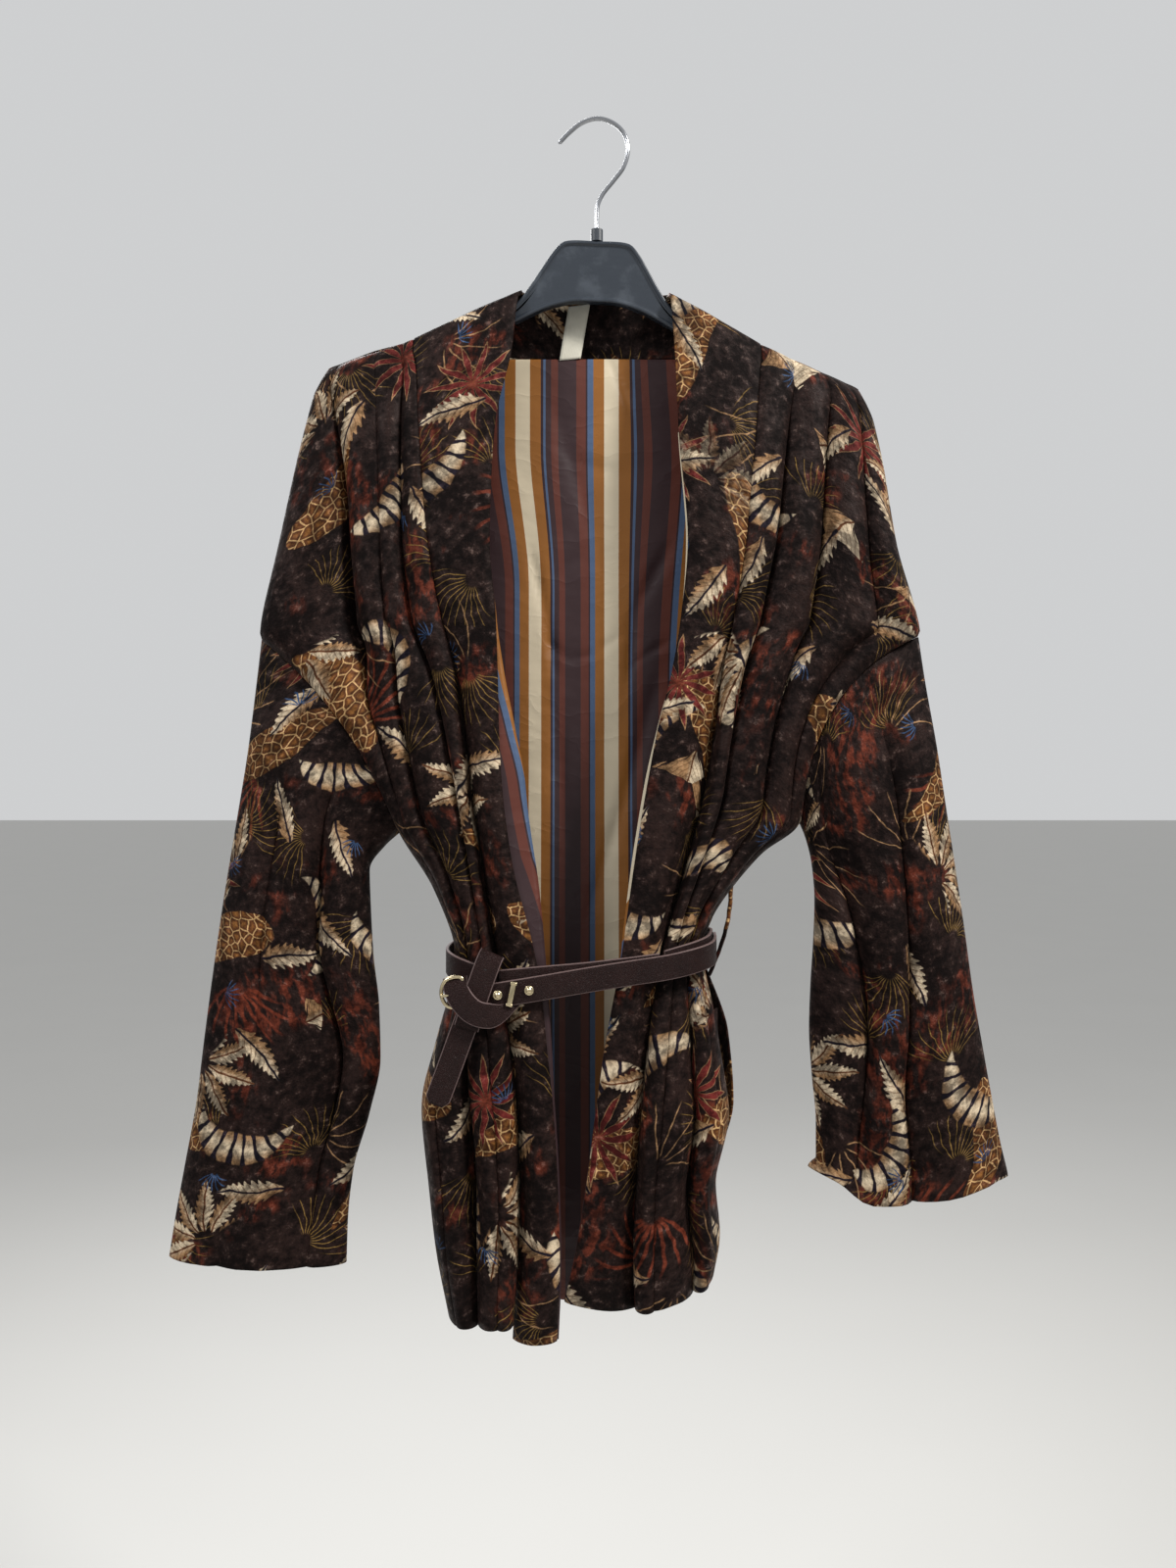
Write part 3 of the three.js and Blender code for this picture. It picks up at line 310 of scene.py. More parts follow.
# The back, a row for each level from the shoulder line: how far it stands behind the hanger,
# and the lining's right and left edge and depth inside it.
BACK = {
    "rows": table(("face", "lining_right", "lining_left", "lining_y"), [
        [22, -88, 80, 16.5],
        [22, -88, 80, 15.5],
        [22, -90, 82, 14.5],
        [23, -104, 96, 14],
        [25, -128, 116, 14],
        [27, -148, 134, 13],
        [28, -154, 140, 12],
        [28, -146, 136, 12],
        [28, -136, 130, 12],
        [27, -122, 124, 11],
        [23, -102, 98, 9],
        [19.5, -88, 66, 6],
        [19, -88, 60, 5],
        [27, -98, 76, 9],
        [31, -106, 80, 11],
        [33, -103, 70, 13],
        [33, -99, 70, 13],
        [31, -90, 66, 13],
    ]),
    "stations": [3, 5, 7.5, 9, 12, 14.5, 17],
    "folds": [
        {"at": [0.12, 0.12, 0.11, 0.12, 0.13, 0.12, 0.12], "deep": [2, 6, 7, 6, 4, 5, 3]},
        {"at": [0.26, 0.25, 0.25, 0.25, 0.27, 0.27, 0.28], "deep": [2, 5, 7, 7, 5, 9, 6]},
        {"at": [0.4, 0.4, 0.4, 0.41, 0.42, 0.41, 0.43], "deep": [0, 2, 4, 5, 5, 8, 5]},
        {"at": [0.57, 0.58, 0.57, 0.56, 0.55, 0.57, 0.56], "deep": [0, 2, 4, 6, 5, 9, 6]},
        {"at": [0.73, 0.74, 0.74, 0.74, 0.71, 0.72, 0.71], "deep": [2, 5, 7, 7, 5, 8, 5]},
        {"at": [0.88, 0.88, 0.89, 0.88, 0.87, 0.87, 0.88], "deep": [2, 6, 7, 6, 4, 5, 3]},
    ],
}

# The shoulder line and back neck seam, from shoulder to shoulder, where the back begins
SHOULDER_LINE = table(("x", "y", "z"), [
    [-197, EDGE, -183],
    [-165, EDGE, -170.5],
    [-133, EDGE, -162],
    [-127, 9, -161.5],
    [-106, 17, -164.5],
    [-52, 23, -168],
    [0, 24, -169],
    [50, 23, -168.5],
    [92, 17, -167.5],
    [111, 9, -166.5],
    [119, EDGE, -166],
    [158, EDGE, -182.5],
    [192, EDGE, -198],
])

# The band behind the neck: its seam, which is the middle stretch of that line, and its top edge
NECK_SEAM = {name: values[2:11] for name, values in SHOULDER_LINE.items()}
NECK_EDGE = table(("x", "y", "z"), [
    [-55, EDGE, -126],
    [-54, 9, -124],
    [-45, 14.5, -122],
    [-22, 18.5, -121],
    [0, 19.5, -121],
    [22, 18.5, -121.5],
    [43, 14.5, -123],
    [52, 9, -125.5],
    [53, EDGE, -128],
])


def valleys(folds, stations, t, first=None):
    """Places and depths of a panel's valleys at level t, with its two edges as the outer ones."""
    i = 0
    while i < len(stations) - 2 and t > stations[i + 1]:
        i += 1
    k = i + clamp((t - stations[i]) / (stations[i + 1] - stations[i]))
    fade = DEEPEN * clamp(t / SHOULDER)
    at = [0, *(along(fold["at"], k) for fold in folds), 1]
    deep = [along(first, k) * fade if first else 0, *(along(fold["deep"], k) * fade for fold in folds), 0]
    return at, deep


def pleat(folds, u, wide):
    """Depth and sideways lean of the cloth at place u across a panel of the given width."""
    at, deep = folds
    i = 0
    while i < len(at) - 2 and u > at[i + 1]:
        i += 1
    span = at[i + 1] - at[i]
    s = clamp((u - at[i]) / span)
    most = LEAN_MOST * span * wide
    left = min(LIP * deep[i], most)
    right = min(LIP * deep[i + 1], most)
    depth = (deep[i] * (1 - s) ** PINCH + deep[i + 1] * s ** PINCH
             - PUFF * span * wide * 4 * s * (1 - s))
    return depth, LEAN_PEAK * s * (1 - s) * (right * s - left * (1 - s))


def turn(distance):
    """How far round its side seam a panel is at a distance from it, from 0 to 1."""
    return math.sqrt(1 - (1 - clamp(distance / ROLL)) ** 2)


def shares(at, steps):
    """Places across a panel: the same count in each pleat, closer beside its valleys."""
    places = []
    for a, b in zip(at, at[1:]):
        places += [lerp(a, b, 0.5 - 0.5 * math.cos(math.pi * i / steps)) for i in range(steps)]
    return [*places, 1]


def levels(count):
    """Levels of a panel's rows, from the shoulder to the hem."""
    return [HEM * i / (count - 1) for i in range(count)]


def creased(creases, x, z):
    """How deep the listed creases are at a place: each runs straight and fades at its ends."""
    total = 0.0
    for x1, z1, x2, z2, deep, wide in creases:
        dx, dz = x2 - x1, z2 - z1
        share = ((x - x1) * dx + (z - z1) * dz) / (dx * dx + dz * dz)
        if not -0.05 < share < 1.05:
            continue
        off = math.hypot(x - x1 - share * dx, z - z1 - share * dz)
        if off < 3 * wide:
            fade = math.sin(math.pi * clamp(share, 0.02, 0.98)) ** 0.7
            total += deep * math.exp(-(off / wide) ** 2) * fade
    return total


def uneven(x, z, seed):
    """The fine unevenness of hanging velvet, longer down the cloth than across it."""
    return sum(deep * noise.noise(Vector((x / wide, z / tall, seed + shift)))
               for deep, wide, tall, shift in UNEVEN)


def cinched(x, z, belt_z, seed):
    """Short gathers above and below the belt, none under it."""
    away = (z - belt_z) / GATHER_REACH
    if abs(away) > 3:
        return 0.0
    swell = math.exp(-away * away) * (1 - math.exp(-((z - belt_z) / GATHER_CLEAR) ** 2))
    ripple = math.sin(x * GATHER_RIPPLE + 3.5 * noise.noise(Vector((x / 26, z / 60, seed))))
    return GATHER_DEEP * swell * (0.5 + 0.5 * ripple)


def tucked(distance):
    """How far a panel's edge dips into its seam."""
    return SEAM_DIP * (1 - clamp(distance / SEAM_REACH)) ** 2


def front_belt(x):
    """Height of the belt's middle across the front."""
    return -622.6 + 0.16 * x


def back_belt(x):
    """Height of the belt's middle across the back."""
    return -609.5 + 0.045 * x


def sleeve_ring(sleeve, t):
    """Ring t of a sleeve: gives its point at share s from the outer fold to the inner one, on its
    front for way -1 and on its back for way 1, and its folds."""
    rings = sleeve["rings"]
    out_x, out_z, in_x, in_z, bow, front, back = (along(rings[name], t) for name in RING)
    top_x = (rings["out_x"][0] + rings["in_x"][0]) / 2
    top_z = (rings["out_z"][0] + rings["in_z"][0]) / 2
    bend_x = (out_x + in_x) / 2 + bow * (sleeve["bend"][0] - top_x)
    bend_z = (out_z + in_z) / 2 + bow * (sleeve["bend"][1] - top_z)
    wide = math.hypot(out_x - in_x, out_z - in_z)
    fade = clamp(t)
    folds = {}
    for way, name in ((-1, "front_folds"), (1, "back_folds")):
        at, deep = valleys(sleeve[name], sleeve["stations"], t)
        folds[way] = at, [d * fade for d in deep]

    def point(s, way, extra=0.0):
        depth, lean = pleat(folds[way], s, wide)
        full = math.sin(math.pi * s) ** SLEEVE_FULL if 0 < s < 1 else 0.0
        stands = ((front if way < 0 else back) - depth + extra) * full
        x = (1 - s) ** 2 * out_x + 2 * s * (1 - s) * bend_x + s * s * in_x
        z = (1 - s) ** 2 * out_z + 2 * s * (1 - s) * bend_z + s * s * in_z
        return Vector((x + (in_x - out_x) * lean / wide, way * stands, z))

    return point, folds


def side_point(front, t, way):
    """The outer edge of a front at level t: shoulder line, armhole seam, then side seam."""
    if NOTCH <= t <= UNDERARM:
        point, _ = sleeve_ring(front["sleeve"], 0)
        return point((t - NOTCH) / (UNDERARM - NOTCH), way)
    return Vector((along(front["rows"]["side_x"], t), 0, along(front["rows"]["side_z"], t)))


def front_level(front, t):
    """Level t of a front: gives its point at share u from the collar seam to the side, its folds
    and its width."""
    rows = front["rows"]
    seam_x, seam_y, seam_z = (along(rows[name], t) for name in ("seam_x", "seam_y", "seam_z"))
    face_y, slit = along(rows["face_y"], t), along(rows["slit"], t)
    side = side_point(front, t, -1)
    side.x -= slit
    side.y -= 1.5 * slit
    wide = abs(side.x - seam_x)
    folds = valleys(front["folds"], front["stations"], t, front["collar_valley"])

    def point(u, extra=0.0):
        depth, lean = pleat(folds, u, wide)
        round_ = turn(wide * (1 - u))
        y = side.y + (lerp(seam_y, face_y, u) + depth + extra - side.y) * round_
        share = u + lean / wide
        return Vector((lerp(seam_x, side.x, share), min(y, -EDGE), lerp(seam_z, side.z, u)))

    return point, folds, wide


def band_level(band, t):
    """Level t of a collar band: gives its point at share w from its free edge to the collar seam,
    and its width."""
    rows, edge = band["front"]["rows"], band["edge"]
    _, deep = valleys([], band["front"]["stations"], t, band["front"]["collar_valley"])
    drop = band["drop"] * clamp(t - (HEM - 1))
    free = [along(edge[name], t) for name in ("x", "y", "z")]
    seam = [along(rows[name], t) for name in ("seam_x", "seam_y", "seam_z")]

    def point(w, extra=0.0):
        crown = BAND_CROWN * clamp(t) * 4 * w * (1 - w)
        y = lerp(free[1], seam[1], w) - crown + deep[0] * w ** PINCH + extra
        return Vector((lerp(free[0], seam[0], w), min(y, -EDGE), lerp(free[2], seam[2], w) - drop))

    return point, abs(seam[0] - free[0])


def shoulder_point(x):
    """The shoulder line at a place across the body."""
    xs = SHOULDER_LINE["x"]
    i = 0
    while i < len(xs) - 2 and x > xs[i + 1]:
        i += 1
    s = clamp((x - xs[i]) / (xs[i + 1] - xs[i]))
    return Vector((x, lerp(SHOULDER_LINE["y"][i], SHOULDER_LINE["y"][i + 1], s),
                   lerp(SHOULDER_LINE["z"][i], SHOULDER_LINE["z"][i + 1], s)))


def back_level(t):
    """Level t of the back: gives its point at share u from the wearer's right side to the left,
    its folds and its width."""
    right, left = side_point(FRONT_RIGHT, t, 1), side_point(FRONT_LEFT, t, 1)
    wide = left.x - right.x
    folds = valleys(BACK["folds"], BACK["stations"], t)
    face = along(BACK["rows"]["face"], t)

    def point(u, extra=0.0):
        depth, lean = pleat(folds, u, wide)
        round_ = turn(wide * min(u, 1 - u))
        edge = lerp(right.y, left.y, u)
        flat = Vector((lerp(right.x, left.x, u + lean / wide),
                       max(edge + (face - depth - extra - edge) * round_, EDGE),
                       lerp(right.z, left.z, u)))
        if t >= SHOULDER:
            return flat
        start = shoulder_point(lerp(SHOULDER_LINE["x"][0], SHOULDER_LINE["x"][-1], u))
        angle = math.radians(along(BACK_TURN, t))
        neck = 1 - smoothstep(abs(start.x - NECK_X), NECK_NEAR, NECK_FAR)
        over = Vector((start.x, BACK_ROLL * math.sin(angle),
                       start.z - BACK_ROLL * (1 - math.cos(angle))))
        below = Vector((start.x, start.y, start.z - along(NECK_DROP, t)))
        made = over.lerp(below, neck)
        settle = max(clamp((t - 1) / 2) ** 2, (1 - round_) * clamp(t))
        least = EDGE + 0.6 * (1 - round_)
        return Vector((lerp(made.x, flat.x, settle), max(lerp(made.y, flat.y, settle), least),
                       lerp(made.z, flat.z, settle)))

    return point, folds, wide


def neck_point(k, w):
    """The band behind the neck: share k from the wearer's right shoulder to the left, share w from
    its top edge down to its seam."""
    t = k * (len(NECK_SEAM["x"]) - 1)
    x, y, z = (lerp(along(NECK_EDGE[name], t), along(NECK_SEAM[name], t), w) for name in "xyz")
    bulge, behind = math.sin(math.pi * w), math.sin(math.pi * k)
    return Vector((x, y + 1.5 * bulge * behind, z + 2 * bulge * (1 - behind)))


def front_grid(front, rows, steps, creases, seed):
    """A front's rows of points, each from the collar seam to the side."""
    grid = []
    for t in levels(rows):
        point, (at, _), wide = front_level(front, t)
        row = []
        for u in shares(at, steps):
            u = clamp(u, STAND / wide, 1 - STAND / wide if NOTCH <= t <= UNDERARM else 1)
            p = point(u)
            extra = (creased(creases, p.x, p.z) + uneven(p.x, p.z, seed)
                     + tucked(wide * min(u, 1 - u)) + cinched(p.x, p.z, front_belt(p.x), seed))
            row.append(point(u, extra * clamp(t / 2)))
        grid.append(row)
    return grid


def back_sag(t, x):
    """How far the middle of the back's hem hangs below the line between its side seams."""
    return SAG * smoothstep(t, SAG_FROM, HEM) * math.exp(-((x - SAG_X) / SAG_WIDE) ** 2)


def back_grid(rows, steps, creases, seed):
    """The back's rows of points, each from the wearer's right side to the left."""
    grid = []
    for t in levels(rows):
        point, (at, _), wide = back_level(t)
        row = []
        for u in shares(at, steps):
            stand = STAND / wide if NOTCH <= t <= UNDERARM else 0
            u = clamp(u, stand, 1 - stand)
            p = point(u)
            extra = (creased(creases, p.x, p.z) + uneven(p.x, p.z, seed)
                     + tucked(wide * min(u, 1 - u)) + cinched(p.x, p.z, back_belt(p.x), seed))
            settled = point(u, extra * clamp(t / 2))
            row.append(settled - Vector((0, 0, back_sag(t, settled.x))))
        grid.append(row)
    return grid


def sleeve_grid(sleeve, rows, steps, creases, seed, drop=lambda x: 0.0):
    """A sleeve's rings, from the armhole to the cuff, each from the seam at the inner fold and back
    to it. drop says how far the cuff's edge rises or falls at a place across."""
    grid = []
    last = len(sleeve["rings"]["bow"]) - 1
    for j in range(rows):
        t = max(last * j / (rows - 1), SLEEVE_START)
        point, folds = sleeve_ring(sleeve, t)
        ring = []
        for way in (-1, 1):
            places = shares(folds[way][0], steps)
            if t < 1:
                places = [lerp(i / (len(places) - 1), s, t) for i, s in enumerate(places)]
            walk = places[::-1] if way < 0 else places[1:]
            for s in walk:
                p = point(s, way)
                extra = -(creased(creases[way], p.x, p.z) + uneven(p.x * 1.2, p.z, seed + way))
                made = point(s, way, extra * clamp(t * 2))
                made.z += drop(p.x) * smoothstep(t, last - CUFF_REACH, last)
                ring.append(made)
        grid.append(ring)
    return grid


def band_grid(band, rows, cols, creases, seed):
    """A collar band's rows of points, each from its rolled free edge to the collar seam."""
    grid = []
    for t in levels(rows):
        point, wide = band_level(band, t)
        row = []
        for i in range(cols):
            w = (1 - STAND / wide) * (0.5 - 0.5 * math.cos(math.pi * i / (cols - 1)))
            p = point(w)
            roll = ROLL_DEEP * (1 - clamp(wide * w / ROLL_WIDE)) ** 2
            extra = (creased(creases, p.x, p.z) + 0.6 * uneven(p.x, p.z, seed) + roll
                     + tucked(wide * (1 - w)) + 0.5 * cinched(p.x, p.z, front_belt(p.x), seed))
            row.append(point(w, extra * clamp(t / 2)))
        grid.append(row)
    return grid


def neck_grid(rows, cols):
    """The band behind the neck, a hair short of both shoulders and a little past its seam."""
    return [[neck_point(lerp(0.003, 0.997, j / (rows - 1)), 1.03 * i / (cols - 1)) for i in range(cols)]
            for j in range(rows)]


def lining_back_grid(rows, cols, creases):
    """The back's lining, hung in shallow waves that grow from the neck down."""
    lining = BACK["rows"]
    grid = []
    for t in levels(rows):
        point, _, _ = back_level(t)
        top = point(0.5).z + 1 - 2.2 * clamp(1 - t)
        ends = along(lining["lining_right"], t), along(lining["lining_left"], t)
        depth = along(lining["lining_y"], t)
        fullness = clamp(t / 5, 0.2)
        row = []
        for i in range(cols):
            u = i / (cols - 1)
            wave = 1.6 * math.sin(9 * u + 0.2 * t) + math.sin(17 * u - 0.15 * t + 1)
            x = lerp(*ends, u)
            z = top - back_sag(t, x)
            fine = 0.5 * noise.noise(Vector((x / 22, z / 60, 31)))
            row.append(Vector((x, depth + fullness * (wave + fine) + creased(creases, x, z) * clamp(t), z)))
        grid.append(row)
    return grid


def lining_front_grid(band, start, rows, cols):
    """The lining of a front from level start down, from where it looks out past the band to where
    it ends under it."""
    under = BAND / 2 + LINING / 2 + LINING_GAP
    grid = []
    for j in range(rows):
        t = lerp(start, HEM, j / (rows - 1))
        point, wide = band_level(band, t)
        edge = point(0)
        seam_x = along(band["front"]["rows"]["seam_x"], t)
        across = math.copysign(1, seam_x - edge.x)
        show = along(band["edge"]["show"], t)
        row = []
        for i in range(cols):
            beyond = lerp(show, -LINING_TUCK, i / (cols - 1))
            if beyond > 0:
                row.append(Vector((edge.x - across * beyond, edge.y + under + 0.2 * beyond, edge.z)))
            else:
                on = point(clamp(-beyond / wide, 0, 0.8))
                row.append(Vector((on.x, on.y + under, on.z)))
        grid.append(row)
    return grid


def flat_lengths(grid, anchor, level):
    """Flat place of every point of a cloth: across from the anchor column, and down from one row."""
    across, down = [], [[0.0] * len(grid[0])]
    for row in grid:
        run = [0.0]
        for a, b in zip(row, row[1:]):
            run.append(run[-1] + (b - a).length)
        start = run[round(anchor * (len(row) - 1))]
        across.append([r - start for r in run])
    for above, row in zip(grid, grid[1:]):
        down.append([d + (b - a).length for d, a, b in zip(down[-1], above, row)])
    start = down[level]
    return across, [[d - s for d, s in zip(row, start)] for row in down]


def cloth(name, grid, thick, finish, anchor=0.0, level=-1, cut_at=(0, 0), looped=False, stripes=None):
    """A thin shell on a grid of points, with its flat lengths in metres as UV map. cut_at is the
    place on the printed cloth that it is cut from, and looped closes a sleeve's rings. For the
    lining, stripes gives each point's place across the stripes."""
    rows, cols = len(grid), len(grid[0])
    across, down = flat_lengths(grid, anchor, level)
    if stripes:
        across = [[stripes(grid[j][i], across[j][i]) for i in range(cols)] for j in range(rows)]
    bm = bmesh.new()
    bmesh.ops.create_grid(bm, x_segments=cols - 1, y_segments=rows - 1, size=1)
    spots = {}
    for vert in bm.verts:
        i = round((vert.co.x + 1) / 2 * (cols - 1))
        j = round((1 - vert.co.y) / 2 * (rows - 1))
        spots[vert.index] = i, j
        vert.co = grid[j][i] * MM
    flat = bm.loops.layers.uv.new("flat")
    for face in bm.faces:
        face.smooth = True
        for loop in face.loops:
            i, j = spots[loop.vert.index]
            loop[flat].uv = (across[j][i] + cut_at[0]) * MM, (cut_at[1] - down[j][i]) * MM
    if looped:
        bmesh.ops.remove_doubles(bm, verts=bm.verts, dist=0.02 * MM)
    piece = finished(name, bm, finish)
    shell = piece.modifiers.new("thickness", "SOLIDIFY")
    shell.thickness = thick * MM
    shell.offset = 0
    shell.use_even_offset = False
    return piece


def finished(name, bm, finish):
    """Writes a bmesh as an object with its material."""
    mesh = bpy.data.meshes.new(name)
    bm.to_mesh(mesh)
    bm.free()
    mesh.materials.append(finish)
    piece = bpy.data.objects.new(name, mesh)
    bpy.context.scene.collection.objects.link(piece)
    return piece


class Value:
    """A number on its way through a material's nodes, with ordinary arithmetic."""

    def __init__(self, paint, socket):
        self.paint, self.socket = paint, socket

    def __add__(self, other):
        return self.paint.math("ADD", self, other)

    def __sub__(self, other):
        return self.paint.math("SUBTRACT", self, other)

    def __rsub__(self, other):
        return self.paint.math("SUBTRACT", other, self)

    def __mul__(self, other):
        return self.paint.math("MULTIPLY", self, other)

    def __truediv__(self, other):
        return self.paint.math("DIVIDE", self, other)

    def __pow__(self, other):
        return self.paint.math("POWER", self, other)

    __radd__, __rmul__ = __add__, __mul__


class Paint:
    """A material and short ways to add nodes to it. Sizes on the cloth are in metres."""

    def __init__(self, name, **surface):
        self.material = bpy.data.materials.new(name)
        self.material.use_nodes = True
        self.tree = self.material.node_tree
        self.surface = self.tree.nodes["Principled BSDF"]
        for key, value in surface.items():
            self.surface.inputs[key.replace("_", " ").title().replace("Ior", "IOR")].default_value = value

    def node(self, kind, inputs, output=0, **settings):
        made = self.tree.nodes.new(kind)
        for key, value in settings.items():
            setattr(made, key, value)
        for key, value in inputs.items():
            if isinstance(value, Value):
                self.tree.links.new(value.socket, made.inputs[key])
            else:
                made.inputs[key].default_value = value
        return Value(self, made.outputs[output])

    def math(self, operation, *values):
        return self.node("ShaderNodeMath", dict(enumerate(values)), operation=operation)

    def mix(self, share, a, b, blend="MIX"):
        return self.node("ShaderNodeMix", {0: share, 6: a, 7: b}, output=2, data_type="RGBA",
                         blend_type=blend)

    def fade(self, value, low, high):
        """0 below low, 1 above high, and smooth between them; low above high turns it round."""
        return self.node("ShaderNodeMapRange", {0: value, 1: low, 2: high},
                         interpolation_type="SMOOTHSTEP")

    def noise(self, where, scale, detail=2.0, rough=0.5, output=0):
        return self.node("ShaderNodeTexNoise", {"Vector": where, "Scale": scale, "Detail": detail,
                                                "Roughness": rough}, output=output)

    def flat(self):
        """Places on the cloth laid flat."""
        return self.node("ShaderNodeTexCoord", {}, output="UV")

    def solid(self):
        """Places in the object's own space."""
        return self.node("ShaderNodeTexCoord", {}, output="Object")

    def vector(self, operation, a, b):
        return self.node("ShaderNodeVectorMath", {0: a, 1: b}, operation=operation)

    def parts(self, where):
        split = self.tree.nodes.new("ShaderNodeSeparateXYZ")
        self.tree.links.new(where.socket, split.inputs[0])
        return [Value(self, socket) for socket in split.outputs]

    def link(self, **inputs):
        for key, value in inputs.items():
            self.tree.links.new(value.socket, self.surface.inputs[key.replace("_", " ").title()])

    def bump(self, height, distance, strength=1.0):
        self.link(Normal=self.node("ShaderNodeBump", {"Height": height, "Distance": distance,
                                                      "Strength": strength}))


def colour(red, green, blue):
    """A colour in linear light from the 0 to 255 values of a screen."""
    def linear(value):
        value /= 255
        return value / 12.92 if value <= 0.04045 else ((value + 0.055) / 1.055) ** 2.4
    return linear(red), linear(green), linear(blue), 1.0


def dimmed(tint, share):
    return *(value * share for value in tint[:3]), 1.0


CREAM, TAN, NAVY = colour(180, 168, 144), colour(134, 106, 75), colour(20, 16, 28)
OCHRE, BROWN, RUST = colour(122, 82, 40), colour(78, 46, 24), colour(96, 43, 28)
SAND = colour(172, 142, 98)
MAROON, BLUE, GOLD = colour(90, 32, 29), colour(46, 72, 106), colour(112, 90, 46)
# GROUND_DARK is the velvet's own dark ground; the other two colours are painted sheen and painted glints
# laid over it
GROUND_DARK, PAINTED_SHEEN, PAINTED_GLINT = colour(26, 16, 14), colour(50, 39, 36), colour(84, 70, 64)
PAINTED_NAP_SHADE, PAINTED_NAP_HIGHLIGHT = (0.27, 0.25, 0.25, 1), (1.2, 1.13, 1.1, 1)   # painted shade and painted highlight: what the nap's lie multiplies the colour by


def scattered(paint, flat, spacing, size, shift, bare):
    """Motif places strewn over the cloth: local x and y, each from -1 to 1 on the motif, and 1
    where a motif lies, 0 on the share of places that stays bare."""
    where = paint.vector("ADD", flat, (shift, shift * 1.7, 0))
    spot = paint.tree.nodes.new("ShaderNodeTexVoronoi")
    spot.voronoi_dimensions = "2D"
    paint.tree.links.new(where.socket, spot.inputs["Vector"])
    spot.inputs["Scale"].default_value = 1 / spacing
    spot.inputs["Randomness"].default_value = 0.5
    local = paint.vector("SUBTRACT", where, Value(paint, spot.outputs["Position"]))
    luck, pick, _ = paint.parts(Value(paint, spot.outputs["Color"]))
    turned = paint.node("ShaderNodeVectorRotate", {"Vector": local, "Angle": (luck - 0.5) * math.tau},
                        rotation_type="Z_AXIS")
    x, y, _ = paint.parts(turned)
    return x / size, y / size, paint.fade(pick, bare, bare + 0.02)


def polar(paint, x, y):
    """Distance from a motif's middle, and the angle round it."""
    return (x * x + y * y) ** 0.5, paint.math("ARCTAN2", y, x)


def leaf_shape(paint, x, y):
    """A feathered leaf along x: its outline, its midrib and its side veins."""
    across = paint.math("ABSOLUTE", y)
    barbs = (x - across * 0.9) * 30
    wide = (1 - x * x) * (0.36 - 0.12 * x) * (0.84 + 0.16 * paint.math("SINE", barbs))
    inside = paint.fade(wide - across, 0.0, 0.03)
    rib = paint.fade(across, 0.045, 0.02)
    vein = paint.fade(paint.math("SINE", barbs + 1.5), 0.55, 0.95)
    return inside, rib, vein


def leaves(paint, ground, flat, spacing, size, shift):
    """Single feathered leaves."""
    x, y, laid = scattered(paint, flat, spacing, size, shift, bare=0.22)
    inside, rib, vein = leaf_shape(paint, x, y)
    shade = paint.mix(paint.fade(y + x * 0.2, -0.25, 0.2), TAN, CREAM)
    shade = paint.mix(vein * 0.55, shade, BROWN)
    shade = paint.mix(rib, shade, NAVY)
    return paint.mix(inside * laid, ground, shade)


def sprig(paint, ground, flat, spacing, size, shift):
    """Leaves that fan out from a stalk."""
    x, y, laid = scattered(paint, flat, spacing, size, shift, bare=0.3)
    reach, angle = polar(paint, x, y)
    step, middle, half = 0.62, 0.56, 0.42
    sector = paint.math("ROUND", angle / step)
    off = angle - sector * step
    local_x = (reach * paint.math("COSINE", off) - middle) / half
    local_y = reach * paint.math("SINE", off) / half
    inside, rib, vein = leaf_shape(paint, local_x, local_y)
    fan = paint.fade(paint.math("ABSOLUTE", angle), 1.7, 1.6)
    shade = paint.mix(paint.fade(local_y, -0.2, 0.15), TAN, CREAM)
    shade = paint.mix(vein * 0.5, shade, BROWN)
    shade = paint.mix(rib, shade, BROWN)
    return paint.mix(inside * fan * laid, ground, shade)


def gourds(paint, ground, flat, spacing, size, shift):
    """Long ochre gourds with a net of pale lines."""
    x, y, laid = scattered(paint, flat, spacing, size, shift, bare=0.25)
    bend = y + 0.22 * x * x - 0.1
    wide = (1 - x * x) ** 0.5 * (0.3 - 0.16 * x)
    inside = paint.fade(wide - paint.math("ABSOLUTE", bend), 0.0, 0.02)
    net = paint.node("ShaderNodeTexVoronoi", {"Vector": flat, "Scale": 135.0},
                     feature="DISTANCE_TO_EDGE", voronoi_dimensions="2D")
    patch = paint.fade(net, 0.045, 0.075)
    deep = paint.mix(paint.fade(net, 0.15, 0.5), BROWN, OCHRE)
    shade = paint.mix(patch, SAND, deep)
    return paint.mix(inside * laid, ground, shade)


def crescents(paint, ground, flat, spacing, size, shift):
    """Pale crescents with dark bars across them."""
    x, y, laid = scattered(paint, flat, spacing, size, shift, bare=0.3)
    reach, angle = polar(paint, x, y + 0.35)
    bow, radius = angle - math.pi / 2, 0.78
    wide = 0.24 * (1 - (bow / 1.25) ** 2)
    off = paint.math("ABSOLUTE", reach - radius)
    inside = paint.fade(wide - off, 0.0, 0.03)
    bars = paint.math("SINE", bow * 24 + (reach - radius) * 6)
    bars = paint.fade(bars + (off - 0.1) * 2.5, 0.35, 0.7)
    shade = paint.mix(paint.fade(off, 0.0, 0.2), CREAM, TAN)
    shade = paint.mix(bars, shade, NAVY)
    return paint.mix(inside * laid, ground, shade)


def stars(paint, ground, flat, spacing, size, shift):
    """Spiky blossoms, maroon with tan rims."""
    x, y, laid = scattered(paint, flat, spacing, size, shift, bare=0.35)
    reach, angle = polar(paint, x, y)
    spikes = 11
    turns = paint.math("FRACT", angle * (spikes / math.tau))
    point = 1 - paint.math("ABSOLUTE", turns - 0.5) * 2
    left = point * 1.05 - reach
    inside = paint.fade(left, 0.0, 0.03)
    rim = paint.fade(left, 0.14, 0.04)
    shade = paint.mix(rim, MAROON, TAN)
    shade = paint.mix(paint.fade(reach, 0.25, 0.05) * 0.8, shade, RUST)
    return paint.mix(inside * laid, ground, shade)


